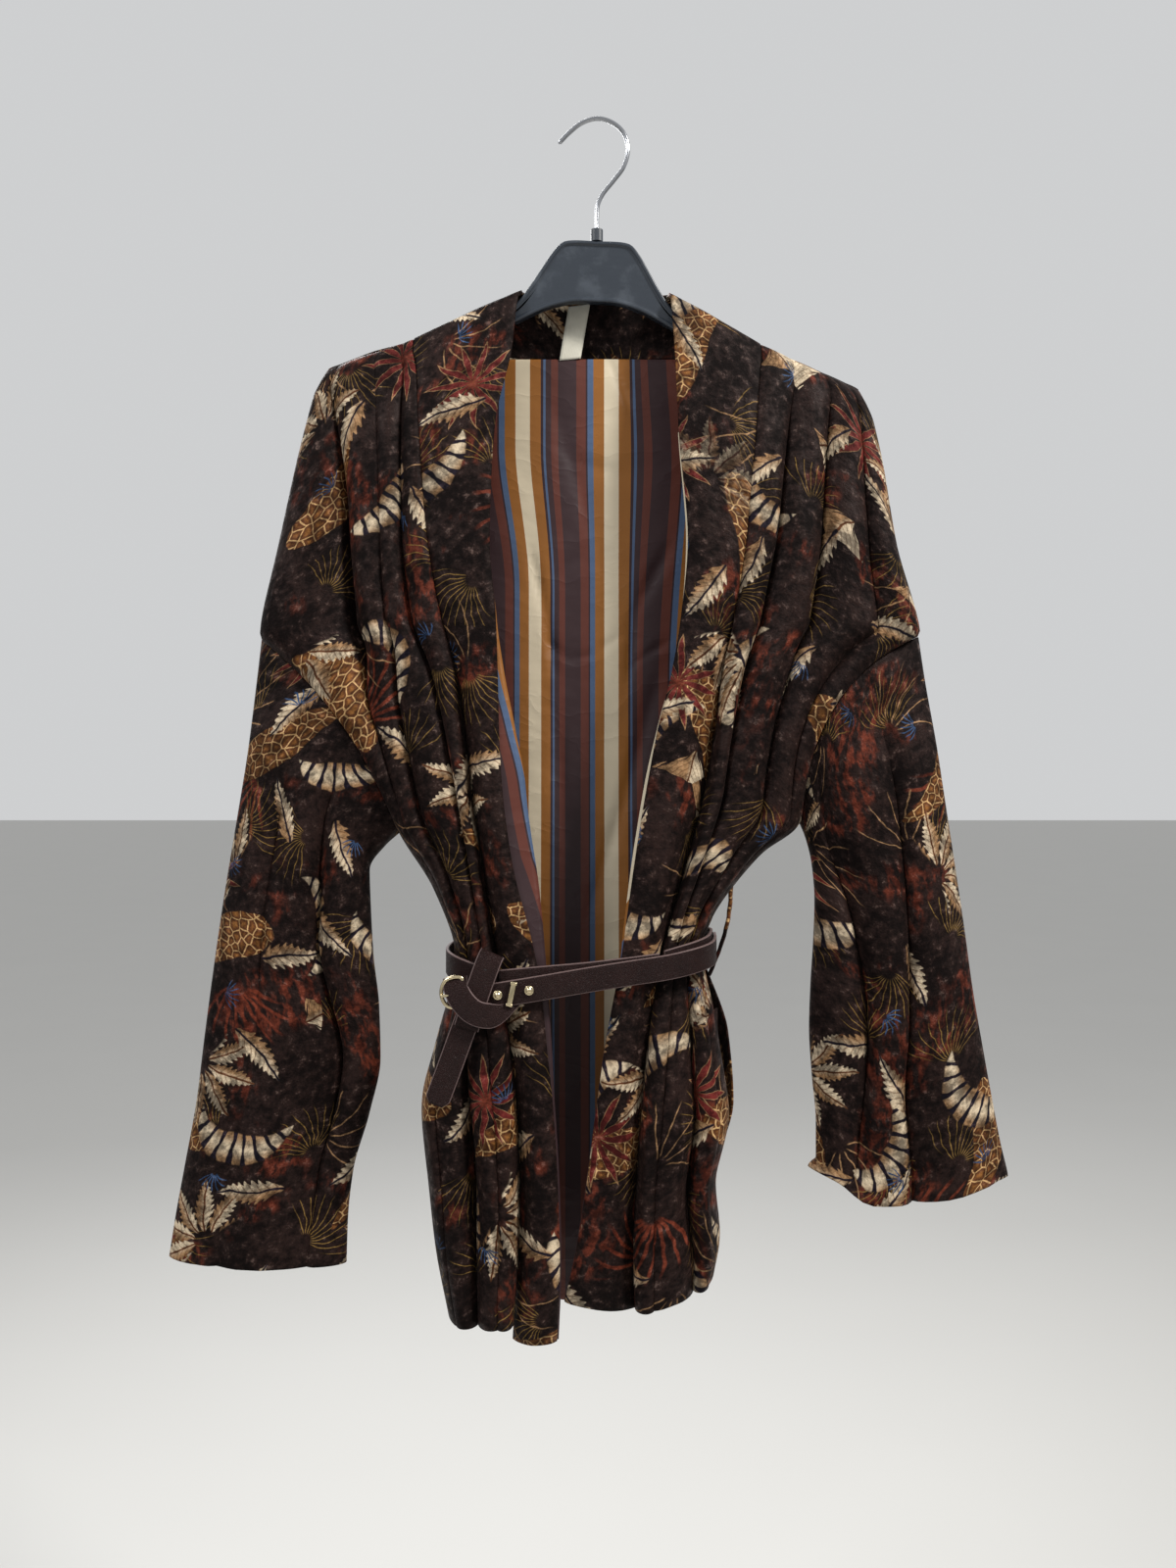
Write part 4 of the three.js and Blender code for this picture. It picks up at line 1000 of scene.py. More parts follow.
def sprays(paint, ground, flat, spacing, size, shift, blades, tint, thick):
    """Fans of thin blades, fine or tufted: thick is half a blade's share of its sector."""
    x, y, laid = scattered(paint, flat, spacing, size, shift, bare=0.3)
    reach, angle = polar(paint, x, y)
    turns = paint.math("FRACT", (angle + reach * 0.35) * (blades / math.tau))
    off = paint.math("ABSOLUTE", turns - 0.5) * reach
    blade = paint.fade(off, thick, thick * 0.4)
    length = paint.fade(reach, 1.0, 0.8) * paint.fade(reach, 0.12, 0.2)
    fan = paint.fade(paint.math("ABSOLUTE", angle), 1.25, 1.1)
    return paint.mix(blade * length * fan * laid, ground, tint)


# The print's motifs in the order they are laid down: how far apart they are and how far each
# reaches, in metres, and a shift that keeps two kinds from falling on the same places
PRINT = [
    (sprays, {"spacing": 0.16, "size": 0.05, "shift": 3.17, "blades": 23, "tint": RUST, "thick": 0.13}),
    (sprays, {"spacing": 0.075, "size": 0.04, "shift": 0.31, "blades": 30, "tint": GOLD, "thick": 0.05}),
    (sprays, {"spacing": 0.11, "size": 0.048, "shift": 1.87, "blades": 13, "tint": TAN, "thick": 0.03}),
    (gourds, {"spacing": 0.15, "size": 0.052, "shift": 0.11}),
    (crescents, {"spacing": 0.14, "size": 0.05, "shift": 0.57}),
    (stars, {"spacing": 0.17, "size": 0.034, "shift": 0.93}),
    (sprig, {"spacing": 0.15, "size": 0.05, "shift": 1.31}),
    (leaves, {"spacing": 0.085, "size": 0.026, "shift": 2.13}),
    (sprays, {"spacing": 0.11, "size": 0.014, "shift": 2.71, "blades": 17, "tint": BLUE, "thick": 0.12}),
]
WOBBLE = 0.006          # how far the print's drawn lines stray from true, in metres


def printed_velvet():
    """Crushed velvet: a dark printed ground whose nap catches the light in patches, with that light and
    shade painted into its colour as painted highlights, painted shade and painted glints.
    """
    paint = Paint("printed_velvet", Sheen_Weight=0.022, Sheen_Roughness=0.35,
                  Sheen_Tint=(0.8, 0.66, 0.6, 1), Specular_Ior_Level=0.06)
    flat = paint.flat()
    stir = paint.vector("SUBTRACT", paint.noise(flat, 60.0, 2.0, output=1), (0.5, 0.5, 0.5))
    stir = paint.node("ShaderNodeVectorMath", {0: stir, "Scale": WOBBLE}, operation="SCALE")
    drawn = paint.vector("ADD", flat, stir)
    brush = paint.noise(paint.node("ShaderNodeMapping", {"Vector": drawn, "Scale": (1.0, 0.45, 1.0)}),
                        150.0, 3.0, 0.6)
    cloud = paint.fade(paint.noise(drawn, 13.0, 3.0, 0.55), 0.52, 0.6)
    made = paint.mix(cloud * paint.fade(brush, 0.44, 0.62) * 0.8, GROUND_DARK, RUST)
    for motif, settings in PRINT:
        made = motif(paint, made, drawn, **settings)
    crush = paint.noise(flat, 130.0, 6.0, 0.7)
    broad = paint.noise(flat, 24.0, 2.0, 0.5)
    # Patches where the crushed nap catches the light: they get painted highlights below, and less roughness
    painted_lit_patches = paint.fade(crush * 0.68 + broad * 0.32, 0.41, 0.62)
    fibre = paint.noise(flat, 700.0, 2.0, 0.7)
    # Painted light and shade: the colour is multiplied darker outside those patches and lighter within them
    painted_nap_light = paint.mix(painted_lit_patches * (0.55 + fibre * 0.9), PAINTED_NAP_SHADE, PAINTED_NAP_HIGHLIGHT)
    made = paint.mix(1.0, made, painted_nap_light, "MULTIPLY")
    # Painted sheen on the lit patches, then painted glints on the brightest specks
    made = paint.mix(painted_lit_patches * (0.02 + fibre * 0.26), made, PAINTED_SHEEN, "ADD")
    painted_glint_mask = paint.fade(crush + (fibre - 0.5) * 0.25, 0.57, 0.74)
    made = paint.mix(painted_glint_mask * 0.75, made, PAINTED_GLINT, "ADD")
    paint.link(Base_Color=made, Roughness=0.72 - painted_lit_patches * 0.3)
    paint.bump(crush * 0.8 + fibre * 0.12 + broad * 0.3, 0.0018, 0.8)
    return paint.material


# The lining's stripes from left to right: their width in millimetres and their colour.
STRIPES = [
    (4.3, colour(66, 82, 108)),
    (8.0, colour(126, 80, 34)),
    (11.0, colour(184, 171, 148)),
    (7.9, colour(126, 80, 34)),
    (1.8, colour(44, 30, 34)),
    (1.8, colour(66, 82, 108)),
    (4.3, colour(50, 34, 36)),
    (5.0, colour(82, 43, 35)),
    (13.7, colour(49, 34, 36)),
    (7.1, colour(82, 43, 35)),
    (1.4, colour(44, 30, 34)),
]
REPEAT = sum(wide for wide, _ in STRIPES)


def striped_satin():
    """Woven stripes along the cloth, with a fine twill and soft slanting wrinkles."""
    paint = Paint("striped_satin", Sheen_Weight=0.05, Sheen_Roughness=0.4, Specular_Ior_Level=0.2)
    flat = paint.flat()
    across, down, _ = paint.parts(flat)
    share = paint.math("FRACT", across / (REPEAT * MM))
    ramp = paint.tree.nodes.new("ShaderNodeValToRGB")
    ramp.color_ramp.interpolation = "CONSTANT"
    paint.tree.links.new(share.socket, ramp.inputs[0])
    stops = ramp.color_ramp.elements
    start = 0.0
    for i, (wide, tint) in enumerate(STRIPES):
        stop = stops[i] if i < 2 else stops.new(start / REPEAT)
        stop.position = start / REPEAT
        stop.color = tint
        start += wide
    twill = paint.math("SINE", (across + down) * 9000)
    grain = paint.noise(flat, 1400.0, 2.0)
    tone = paint.noise(flat, 30.0, 3.0)
    cast = paint.mix(tone, (0.8, 0.8, 0.8, 1), (1.1, 1.1, 1.1, 1))
    paint.link(Base_Color=paint.mix(1.0, Value(paint, ramp.outputs[0]), cast, "MULTIPLY"),
               Roughness=0.34 + tone * 0.16)
    slanted = paint.node("ShaderNodeMapping", {"Vector": flat, "Rotation": (0, 0, 0.7),
                                               "Scale": (0.8, 1.7, 1.0)})
    folds = paint.noise(slanted, 15.0, 3.0, 0.5)
    ridge = paint.math("ABSOLUTE", folds - 0.5) ** 0.6
    paint.bump(ridge * -1.0 + grain * 0.02 + twill * 0.006, 0.0028, 0.55)
    return paint.material


def pebbled_leather():
    """Dark brown leather with a fine pebbled grain."""
    paint = Paint("pebbled_leather", Specular_Ior_Level=0.14)
    where = paint.solid()
    cells = paint.node("ShaderNodeTexVoronoi", {"Vector": where, "Scale": 750.0},
                       feature="DISTANCE_TO_EDGE")
    pores = paint.noise(where, 2400.0, 2.0)
    tone = paint.noise(where, 60.0, 3.0)
    paint.link(Base_Color=paint.mix(tone, colour(24, 12, 11), colour(41, 23, 21)),
               Roughness=0.44 + pores * 0.16)
    paint.bump(paint.fade(cells, 0.0, 0.18) * 0.8 + pores * 0.25 + tone * 0.4, 0.0009, 1.0)
    return paint.material


def leather_edge():
    """The paler cut edge of the strap."""
    paint = Paint("leather_edge", Roughness=0.7)
    grain = paint.noise(paint.solid(), 700.0, 3.0)
    paint.link(Base_Color=paint.mix(grain, colour(58, 42, 41), colour(98, 78, 75)))
    paint.bump(grain, 0.0001, 0.5)
    return paint.material


def polished_metal(name, tint, rough):
    """Bright metal, duller and darker in worn patches."""
    paint = Paint(name, Metallic=1.0)
    where = paint.solid()
    wear = paint.noise(where, 160.0, 4.0)
    fine = paint.noise(where, 2600.0, 2.0)
    paint.link(Base_Color=paint.mix(wear, tint, dimmed(tint, 0.82)),
               Roughness=rough + wear * 0.12 + fine * 0.05)
    return paint.material


def moulded_plastic():
    """Blue-grey plastic, rubbed paler in patches and finely scuffed."""
    paint = Paint("moulded_plastic", Specular_Ior_Level=0.5)
    where = paint.solid()
    rub = paint.fade(paint.noise(where, 34.0, 5.0, 0.7), 0.46, 0.7)
    stretched = paint.node("ShaderNodeMapping", {"Vector": where, "Scale": (1.0, 1.0, 6.0)})
    scuffs = paint.noise(stretched, 90.0, 3.0)
    paint.link(Base_Color=paint.mix(rub, colour(34, 40, 48), colour(42, 49, 58)),
               Roughness=0.3 + rub * 0.2 + scuffs * 0.1)
    paint.bump(paint.noise(where, 1800.0, 2.0), 0.00004, 0.6)
    return paint.material


def woven_tape():
    """Off-white cotton tape with a close weave."""
    paint = Paint("woven_tape", Roughness=0.8, Sheen_Weight=0.2)
    across, down, _ = paint.parts(paint.flat())
    ribs = paint.math("SINE", down * 7000) * 0.5 + paint.math("SINE", across * 5200) * 0.5
    tone = paint.noise(paint.flat(), 90.0, 3.0)
    paint.link(Base_Color=paint.mix(tone, colour(164, 160, 146), colour(188, 184, 170)))
    paint.bump(ribs, 0.0001, 0.6)
    return paint.material


def matt_paint(name, tint):
    """The studio floor's paint, a trace darker here and there."""
    paint = Paint(name, Roughness=0.9)
    paint.link(Base_Color=paint.mix(paint.noise(paint.solid(), 2.5, 2.0), tint, dimmed(tint, 0.97)))
    return paint.material


def smooth_path(points, count):
    """Evenly spaced points and headings of a smooth curve through given points."""
    knots = [0.0]
    for a, b in zip(points, points[1:]):
        knots.append(knots[-1] + math.sqrt((b - a).length))
    ends = [2 * points[0] - points[1], *points, 2 * points[-1] - points[-2]]
    times = [2 * knots[0] - knots[1], *knots, 2 * knots[-1] - knots[-2]]

    def place(i, s):
        p, t = ends[i:i + 4], times[i:i + 4]
        at = lerp(t[1], t[2], s)
        a = [p[k].lerp(p[k + 1], (at - t[k]) / (t[k + 1] - t[k])) for k in range(3)]
        b = [a[k].lerp(a[k + 1], (at - t[k]) / (t[k + 2] - t[k])) for k in range(2)]
        return b[0].lerp(b[1], (at - t[1]) / (t[2] - t[1]))

    fine = [place(i, k / 24) for i in range(len(points) - 1) for k in range(24)] + [points[-1].copy()]
    run = [0.0]
    for a, b in zip(fine, fine[1:]):
        run.append(run[-1] + (b - a).length)
    made = []
    i = 0
    for k in range(count + 1):
        want = run[-1] * k / count
        while i < len(run) - 2 and run[i + 1] < want:
            i += 1
        made.append(fine[i].lerp(fine[i + 1], (want - run[i]) / (run[i + 1] - run[i])))
    heads = [(made[min(k + 1, count)] - made[max(k - 1, 0)]).normalized() for k in range(count + 1)]
    return made, heads


def swept(name, rings, finish, joined=False):
    """A skin through closed rings of points, with flat caps at its ends unless its ends join."""
    bm = bmesh.new()
    made = [[bm.verts.new(p * MM) for p in ring] for ring in rings]
    pairs = list(zip(made, made[1:] + made[:1])) if joined else list(zip(made, made[1:]))
    for ring, after in pairs:
        for i, vert in enumerate(ring):
            j = (i + 1) % len(ring)
            bm.faces.new((vert, ring[j], after[j], after[i])).smooth = True
    if not joined:
        bm.faces.new(made[0])
        bm.faces.new(made[-1])
    bmesh.ops.recalc_face_normals(bm, faces=bm.faces)
    return finished(name, bm, finish)


# A quarter of a strap's section, as shares of its half width and half thickness: a flat strip
# with rounded, slightly proud edges
STRAP_QUARTER = [(1.0, 0.0), (0.992, 0.55), (0.965, 0.92), (0.92, 1.0), (0.6, 0.97), (0.2, 0.97)]


def strap_section():
    top = STRAP_QUARTER + [(-a, b) for a, b in STRAP_QUARTER[::-1]]
    return top + [(a, -b) for a, b in top[::-1][1:-1]]


def strap(name, points, wide_way, count, width=lambda s: 1.0, face=None):
    """A leather strap along a path. wide_way is the way its width runs, or face the way it looks;
    width gives the share of the full width at each share of its length."""
    made, heads = smooth_path([Vector(p) for p in points], count)
    section = strap_section()
    rings = []
    for k, (centre, ahead) in enumerate(zip(made, heads)):
        if face is None:
            through = ahead.cross(Vector(wide_way)).normalized()
        else:
            through = Vector(face) - ahead * ahead.dot(Vector(face))
            through.normalize()
        across = through.cross(ahead).normalized()
        half = BELT_WIDE / 2 * width(k / count)
        rings.append([centre + across * (a * half) + through * (b * BELT_THICK / 2) for a, b in section])
    piece = swept(name, rings, LEATHER)
    piece.data.materials.append(LEATHER_EDGE)
    edge_columns = strap_edge_columns(section)
    for i, polygon in enumerate(piece.data.polygons):
        if len(polygon.vertices) > 4 or i % len(section) in edge_columns:
            polygon.material_index = 1
    return piece


def strap_edge_columns(section):
    """The faces round a strap's section that lie on its cut edges."""
    return {i for i, ((a, _), (b, _)) in enumerate(zip(section, section[1:] + section[:1]))
            if min(abs(a), abs(b)) > 0.9 and a * b > 0}


def bent_bar(name, points, radius, sides, count, finish, joined=False, thin=lambda s: 1.0):
    """A round bar along a curve in a plane that faces forward. thin gives the share of its radius
    at each share of its length."""
    made, heads = smooth_path([Vector(p) for p in points], count)
    if joined:
        made, heads = made[:-1], heads[:-1]
        heads[0] = (made[1] - made[-1]).normalized()
    rings = []
    for k, (centre, ahead) in enumerate(zip(made, heads)):
        front = Vector((0, 1, 0))
        across = ahead.cross(front).normalized()
        size = radius * thin(k / count)
        rings.append([centre + across * (size * math.cos(a)) + front * (size * math.sin(a))
                      for a in (2 * math.pi * i / sides for i in range(sides))])
    return swept(name, rings, finish, joined)


# The belt's stretches, as a line through the middle of the leather
BELT_ROUND = [(-80, -53.6, -623), (-90, -50, -620), (-100, -40, -617.5), (-107, -22, -616),
              (-108.5, -4, -615), (-106, 12, -614), (-97, 22.5, -613), (-78, 26.5, -612),
              (-40, 27, -611), (0, 27, -609.5), (40, 26.5, -607), (68, 24.5, -605),
              (80.6, 14, -603.5), (83.6, 0, -603), (82, -16, -603.5), (77.5, -32, -605),
              (66, -46, -607.5), (48, -52.6, -612)]
BELT_UNDER = [(44, -53, -614), (20, -53.6, -617), (-6, -53.6, -620), (-40, -53.6, -623),
              (-68, -53.6, -625.5)]
BELT_OVER = [(86.6, 2, -606), (85.2, -16, -607.5), (80.4, -34, -609), (68.8, -48.3, -611),
             (50, -55.4, -614.5), (20, -56.5, -619), (-8, -56.6, -623.5), (-40, -56.6, -629),
             (-80, -56.6, -635.5)]
BELT_KNOT = [(-72.5, -53.6, -605.5), (-74, -56.3, -608.5), (-76.5, -58.4, -615), (-82.5, -59.5, -632),
             (-87.5, -59.4, -648), (-90, -59, -656)]
BELT_TAIL = [(-88.5, -56.6, -647.5), (-94, -56.4, -662), (-102, -56.2, -684), (-111.5, -56, -709.5)]
BELT_WRAP = [(-98, -54.6, -622), (-97, -58.5, -629), (-92, -61.4, -637.5), (-84, -62.6, -644.5),
             (-74, -61.8, -647), (-65, -59, -645), (-59, -55.4, -641), (-55, -52.6, -637)]
KNOT_WAY, TAIL_WAY = (1, 0, -0.3), (1, 0, -0.38)   # the way the strap's width runs there

# The ring of the buckle, its prong, the hole in the knotted strap, the keeper, and the studs,
# whose profile has a radius and a height for each step
BUCKLE = {"x": -100, "y": -56.4, "z": -632, "wide": 17, "tall": 24, "bar": 2.8}
BUCKLE_SHAPE = [(1, -0.86), (1, 0.86), (0.75, 1), (0, 0.97), (-0.62, 0.78), (-1, 0.3), (-1, -0.3),
                (-0.62, -0.78), (0, -0.97), (0.75, -1), (1, -0.86)]
PRONG = {"from": -107.8, "to": -95.3, "z": -633.7, "before": 2.8, "radius": 1.1}
HOLE = {"x": -77.2, "z": -616.5, "outer": 1.35, "inner": 1.25, "thick": 0.12, "proud": 0.02}
KEEPER = {"x": -59, "z": -632.6, "tall": 17.5, "wide": 4.6, "thick": 2.6, "y": -59.5, "lean": 12}
KEEPER_ROLL = {"radius": 1.3, "from_end": 1.2, "bevel": 0.35}
STUDS = {"right": (-68.6, -633.4), "left": (-47, -630.2)}
STUD_Y = -58.2
STUD_PROFILE = [(0.01, 0.0), (3.4, 0.0), (3.4, 0.5), (3.298, 0.95), (2.924, 1.25), (2.38, 1.3),
                (2.108, 1.2), (1.87, 1.5), (1.224, 2.05), (0.51, 2.35), (0.01, 2.4)]

# The velvet loop at the side seam, the hook's wire from its tip to the ferrule, and the plate's
# upper and under edge, from its middle to its end, before it is tilted
BELT_LOOP = [(99, 2, -560), (98.5, 0, -572), (96.5, -1, -588), (92, -1, -605), (86.5, 0, -620),
             (83, 1, -629)]
BELT_LOOP_WIDE, BELT_LOOP_THICK = 9, 2.4
HOOK = [(-28, -16.8), (-20.5, -9), (-11, -1.6), (0, 1.6), (11, -1.2), (19.5, -8.6), (23, -20),
        (20, -33.5), (12.5, -44), (4.5, -54), (0.8, -62), (0, -72), (0, -82.4)]
HOOK_WIRE = 3.2
HANGER_TOP = [(0, 0), (18, 0), (25, -1.6), (31.5, -8.5), (40, -22), (48, -35), (60, -50), (92, -65),
              (126, -82.5), (163, -97), (182, -104), (186, -108)]
HANGER_UNDER = [(0, -44.5), (16, -45), (34, -50), (58, -62), (90, -79), (120, -93), (160, -108),
                (183, -114), (186, -110)]
HANGER = {"thick": 7, "tilt": -2.3, "top": -90}

# The tape behind the neck, at its top and at its foot, and the pocket bag, at its mouth and deep in
TAPE = {"x": (-13, -20), "y": (18, 14.7), "z": (-129, -170.5), "wide": 16, "thick": 0.9}
POCKET = {"x": (88, 52), "y": (-6, -22), "z": (-652, -716), "slope": 14, "thick": 1.0}


def buckle_frame():
    x, y, z = BUCKLE["x"], BUCKLE["y"], BUCKLE["z"]
    half_x, half_z = (BUCKLE["wide"] - BUCKLE["bar"]) / 2, (BUCKLE["tall"] - BUCKLE["bar"]) / 2
    return bent_bar("buckle_ring", [(x + a * half_x, y, z + b * half_z) for a, b in BUCKLE_SHAPE],
                    BUCKLE["bar"] / 2, 14, 60, BRASS, joined=True)


def buckle_prong():
    y = BUCKLE["y"] - PRONG["before"]
    ends = [(lerp(PRONG["from"], PRONG["to"], s), y, PRONG["z"]) for s in (0, 0.33, 0.67, 1)]
    return bent_bar("buckle_tongue", ends, PRONG["radius"], 12, 16, BRASS,
                    thin=lambda s: 1 - 0.5 * s ** 3)


def punched_hole():
    """A near-black disc of painted shade that stands for the hole in the strap where it turns over the
    belt.
    """
    bm = bmesh.new()
    before, after = Vector(BELT_KNOT[2]), Vector(BELT_KNOT[3])
    outward = (after - before).cross(Vector(KNOT_WAY)).normalized()
    if outward.y > 0:
        outward = -outward
    face_y = lerp(before.y, after.y, 0.1) - BELT_THICK / 2
    centre = Vector((HOLE["x"], face_y - HOLE["proud"], HOLE["z"]))
    bmesh.ops.create_cone(bm, cap_ends=True, segments=20, radius1=HOLE["outer"], radius2=HOLE["inner"],
                          depth=HOLE["thick"])
    turn_out = Vector((0, 0, 1)).rotation_difference(outward).to_matrix().to_4x4()
    bmesh.ops.transform(bm, matrix=Matrix.Scale(MM, 4) @ Matrix.Translation(centre) @ turn_out,
                        verts=bm.verts)
    return finished("punched_hole", bm, HOLE_SHADE)


def keeper():
    """The flat metal bar that the strap passes under, with a rolled end at top and bottom."""
    bm = bmesh.new()
    bmesh.ops.create_cube(bm, size=1)
    bmesh.ops.scale(bm, vec=(KEEPER["wide"] * 0.8, KEEPER["thick"] * 0.7, KEEPER["tall"]),
                    verts=bm.verts)
    bmesh.ops.bevel(bm, geom=bm.edges[:], offset=0.7, offset_type="OFFSET", affect="EDGES", segments=3,
                    profile=0.5, material=-1)
    for way in (-1, 1):
        turn_over = (Matrix.Translation((0, 0, way * (KEEPER["tall"] / 2 - KEEPER_ROLL["from_end"])))
                     @ Matrix.Rotation(math.pi / 2, 4, "Y"))
        made = bmesh.ops.create_cone(bm, cap_ends=True, segments=20, radius1=KEEPER_ROLL["radius"],
                                     radius2=KEEPER_ROLL["radius"], depth=KEEPER["wide"],
                                     matrix=turn_over)
        rim = {edge for vert in made["verts"] for edge in vert.link_edges if len(edge.link_faces) == 2
               and any(len(face.verts) > 4 for face in edge.link_faces)}
        bmesh.ops.bevel(bm, geom=list(rim), offset=KEEPER_ROLL["bevel"], offset_type="OFFSET",
                        affect="EDGES", segments=2, profile=0.5, material=-1)
    set_down = (Matrix.Translation((KEEPER["x"], KEEPER["y"], KEEPER["z"]))
                @ Matrix.Rotation(math.radians(KEEPER["lean"]), 4, "Y"))
    bmesh.ops.transform(bm, matrix=Matrix.Scale(MM, 4) @ set_down, verts=bm.verts)
    for face in bm.faces:
        face.smooth = True
    return finished("keeper_bar", bm, BRASS)


def stud(side):
    """A turned stud: a flange with a round head on it."""
    x, z = STUDS[side]
    bm = bmesh.new()
    verts = [bm.verts.new((r, 0, h)) for r, h in STUD_PROFILE]
    edges = [bm.edges.new(pair) for pair in zip(verts, verts[1:])]
    bmesh.ops.spin(bm, geom=verts + edges, cent=(0, 0, 0), axis=(0, 0, 1), angle=math.tau, steps=28,
                   use_merge=True)
    bmesh.ops.remove_doubles(bm, verts=bm.verts, dist=0.02)
    bmesh.ops.recalc_face_normals(bm, faces=bm.faces)
    set_down = Matrix.Translation((x, STUD_Y, z)) @ Matrix.Rotation(math.pi / 2, 4, "X")
    bmesh.ops.transform(bm, matrix=Matrix.Scale(MM, 4) @ set_down, verts=bm.verts)
    for face in bm.faces:
        face.smooth = True
    return finished(f"stud_{side}", bm, BRASS)


def plate_rail(half):
    """One edge of the plate, from tip to tip: its points, and the way into the plate at each."""
    points = [Vector((-x, 0, z)) for x, z in half[:0:-1]] + [Vector((x, 0, z)) for x, z in half]
    made, heads = smooth_path(points, 150)
    return [(p, Vector((ahead.z, 0, -ahead.x))) for p, ahead in zip(made, heads)]


def hanger_plate():
    """The moulded plate: a thin rim stands round a shallow face, front and back."""
    half = HANGER["thick"] / 2
    # From the rim's outer edge inwards, and forward from the plate's middle
    rim = [(0, half - 0.8), (0.25, half - 0.25), (0.8, half), (2.2, half), (2.5, half - 0.2),
           (3.2, half - 1.4), (3.6, half - 1.5), (4.8, half - 1.5)]
    tilt = (Matrix.Translation((0, 0, HANGER["top"]))
            @ Matrix.Rotation(math.radians(-HANGER["tilt"]), 4, "Y"))
    rings = []
    for (top, inward), (under, outward) in zip(plate_rail(HANGER_TOP), plate_rail(HANGER_UNDER)):
        room = min(1.0, (top - under).length / 12)
        section = ([top + inward * (a * room) + Vector((0, -b, 0)) for a, b in rim]
                   + [under - outward * (a * room) + Vector((0, -b, 0)) for a, b in rim[::-1]])
        section += [Vector((p.x, -p.y, p.z)) for p in section[::-1]]
        rings.append([tilt @ p for p in section])
    return swept("hanger_plate", rings, PLASTIC)


def hook():
    """The bent wire, rounded off at its tip."""
    points = [(x, 0, z) for x, z in HOOK]
    return bent_bar("hook_wire", points, HOOK_WIRE / 2, 16, 120, CHROME,
                    thin=lambda s: 0.55 + 0.45 * math.sqrt(min(s * 90, 1)))


def neck_tape():
    """The blank tape that hangs slack behind the neck."""
    grid = []
    for j in range(25):
        s = j / 24
        row = []
        for i in range(9):
            side = i / 8 - 0.5
            bulge = 0.8 * math.sin(math.pi * s) + 0.5 * math.sin(5 * s + 3 * side)
            row.append(Vector((lerp(*TAPE["x"], s) + side * TAPE["wide"], lerp(*TAPE["y"], s) - bulge,
                               lerp(*TAPE["z"], s) + side * 1.5)))
        grid.append(row)
    return cloth("tape_behind_neck", grid, TAPE["thick"], TAPE_CLOTH)


def belt_loop():
    """The doubled velvet strip that carries the belt, a little crooked along its edges."""
    made, _ = smooth_path([Vector(p) for p in BELT_LOOP], 40)
    across = Vector((0.2, 0.98, 0)).normalized()
    grid = [[p + across * (BELT_LOOP_WIDE * (i / 6 - 0.5)) + Vector((0.25 * math.sin(k * 0.9 + i), 0, 0))
             for i in range(7)] for k, p in enumerate(made)]
    return cloth("belt_loop", grid, BELT_LOOP_THICK, VELVET_PRINT, cut_at=(410, 90))


def pocket_bag():
    """The short bag behind the slit, from the side seam inwards, its top sloping down."""
    grid = []
    for j in range(21):
        s = j / 20
        row = []
        for i in range(13):
            w = i / 12
            y = lerp(*POCKET["y"], w ** 0.7) + 0.8 * noise.noise(Vector((w * 4, s * 5, 3)))
            z = lerp(*POCKET["z"], s) - POCKET["slope"] * w * (1 - s)
            row.append(Vector((lerp(*POCKET["x"], w), y, z)))
        grid.append(row)
    return cloth("pocket_bag", grid, POCKET["thick"], VELVET_PRINT, cut_at=(300, 60))
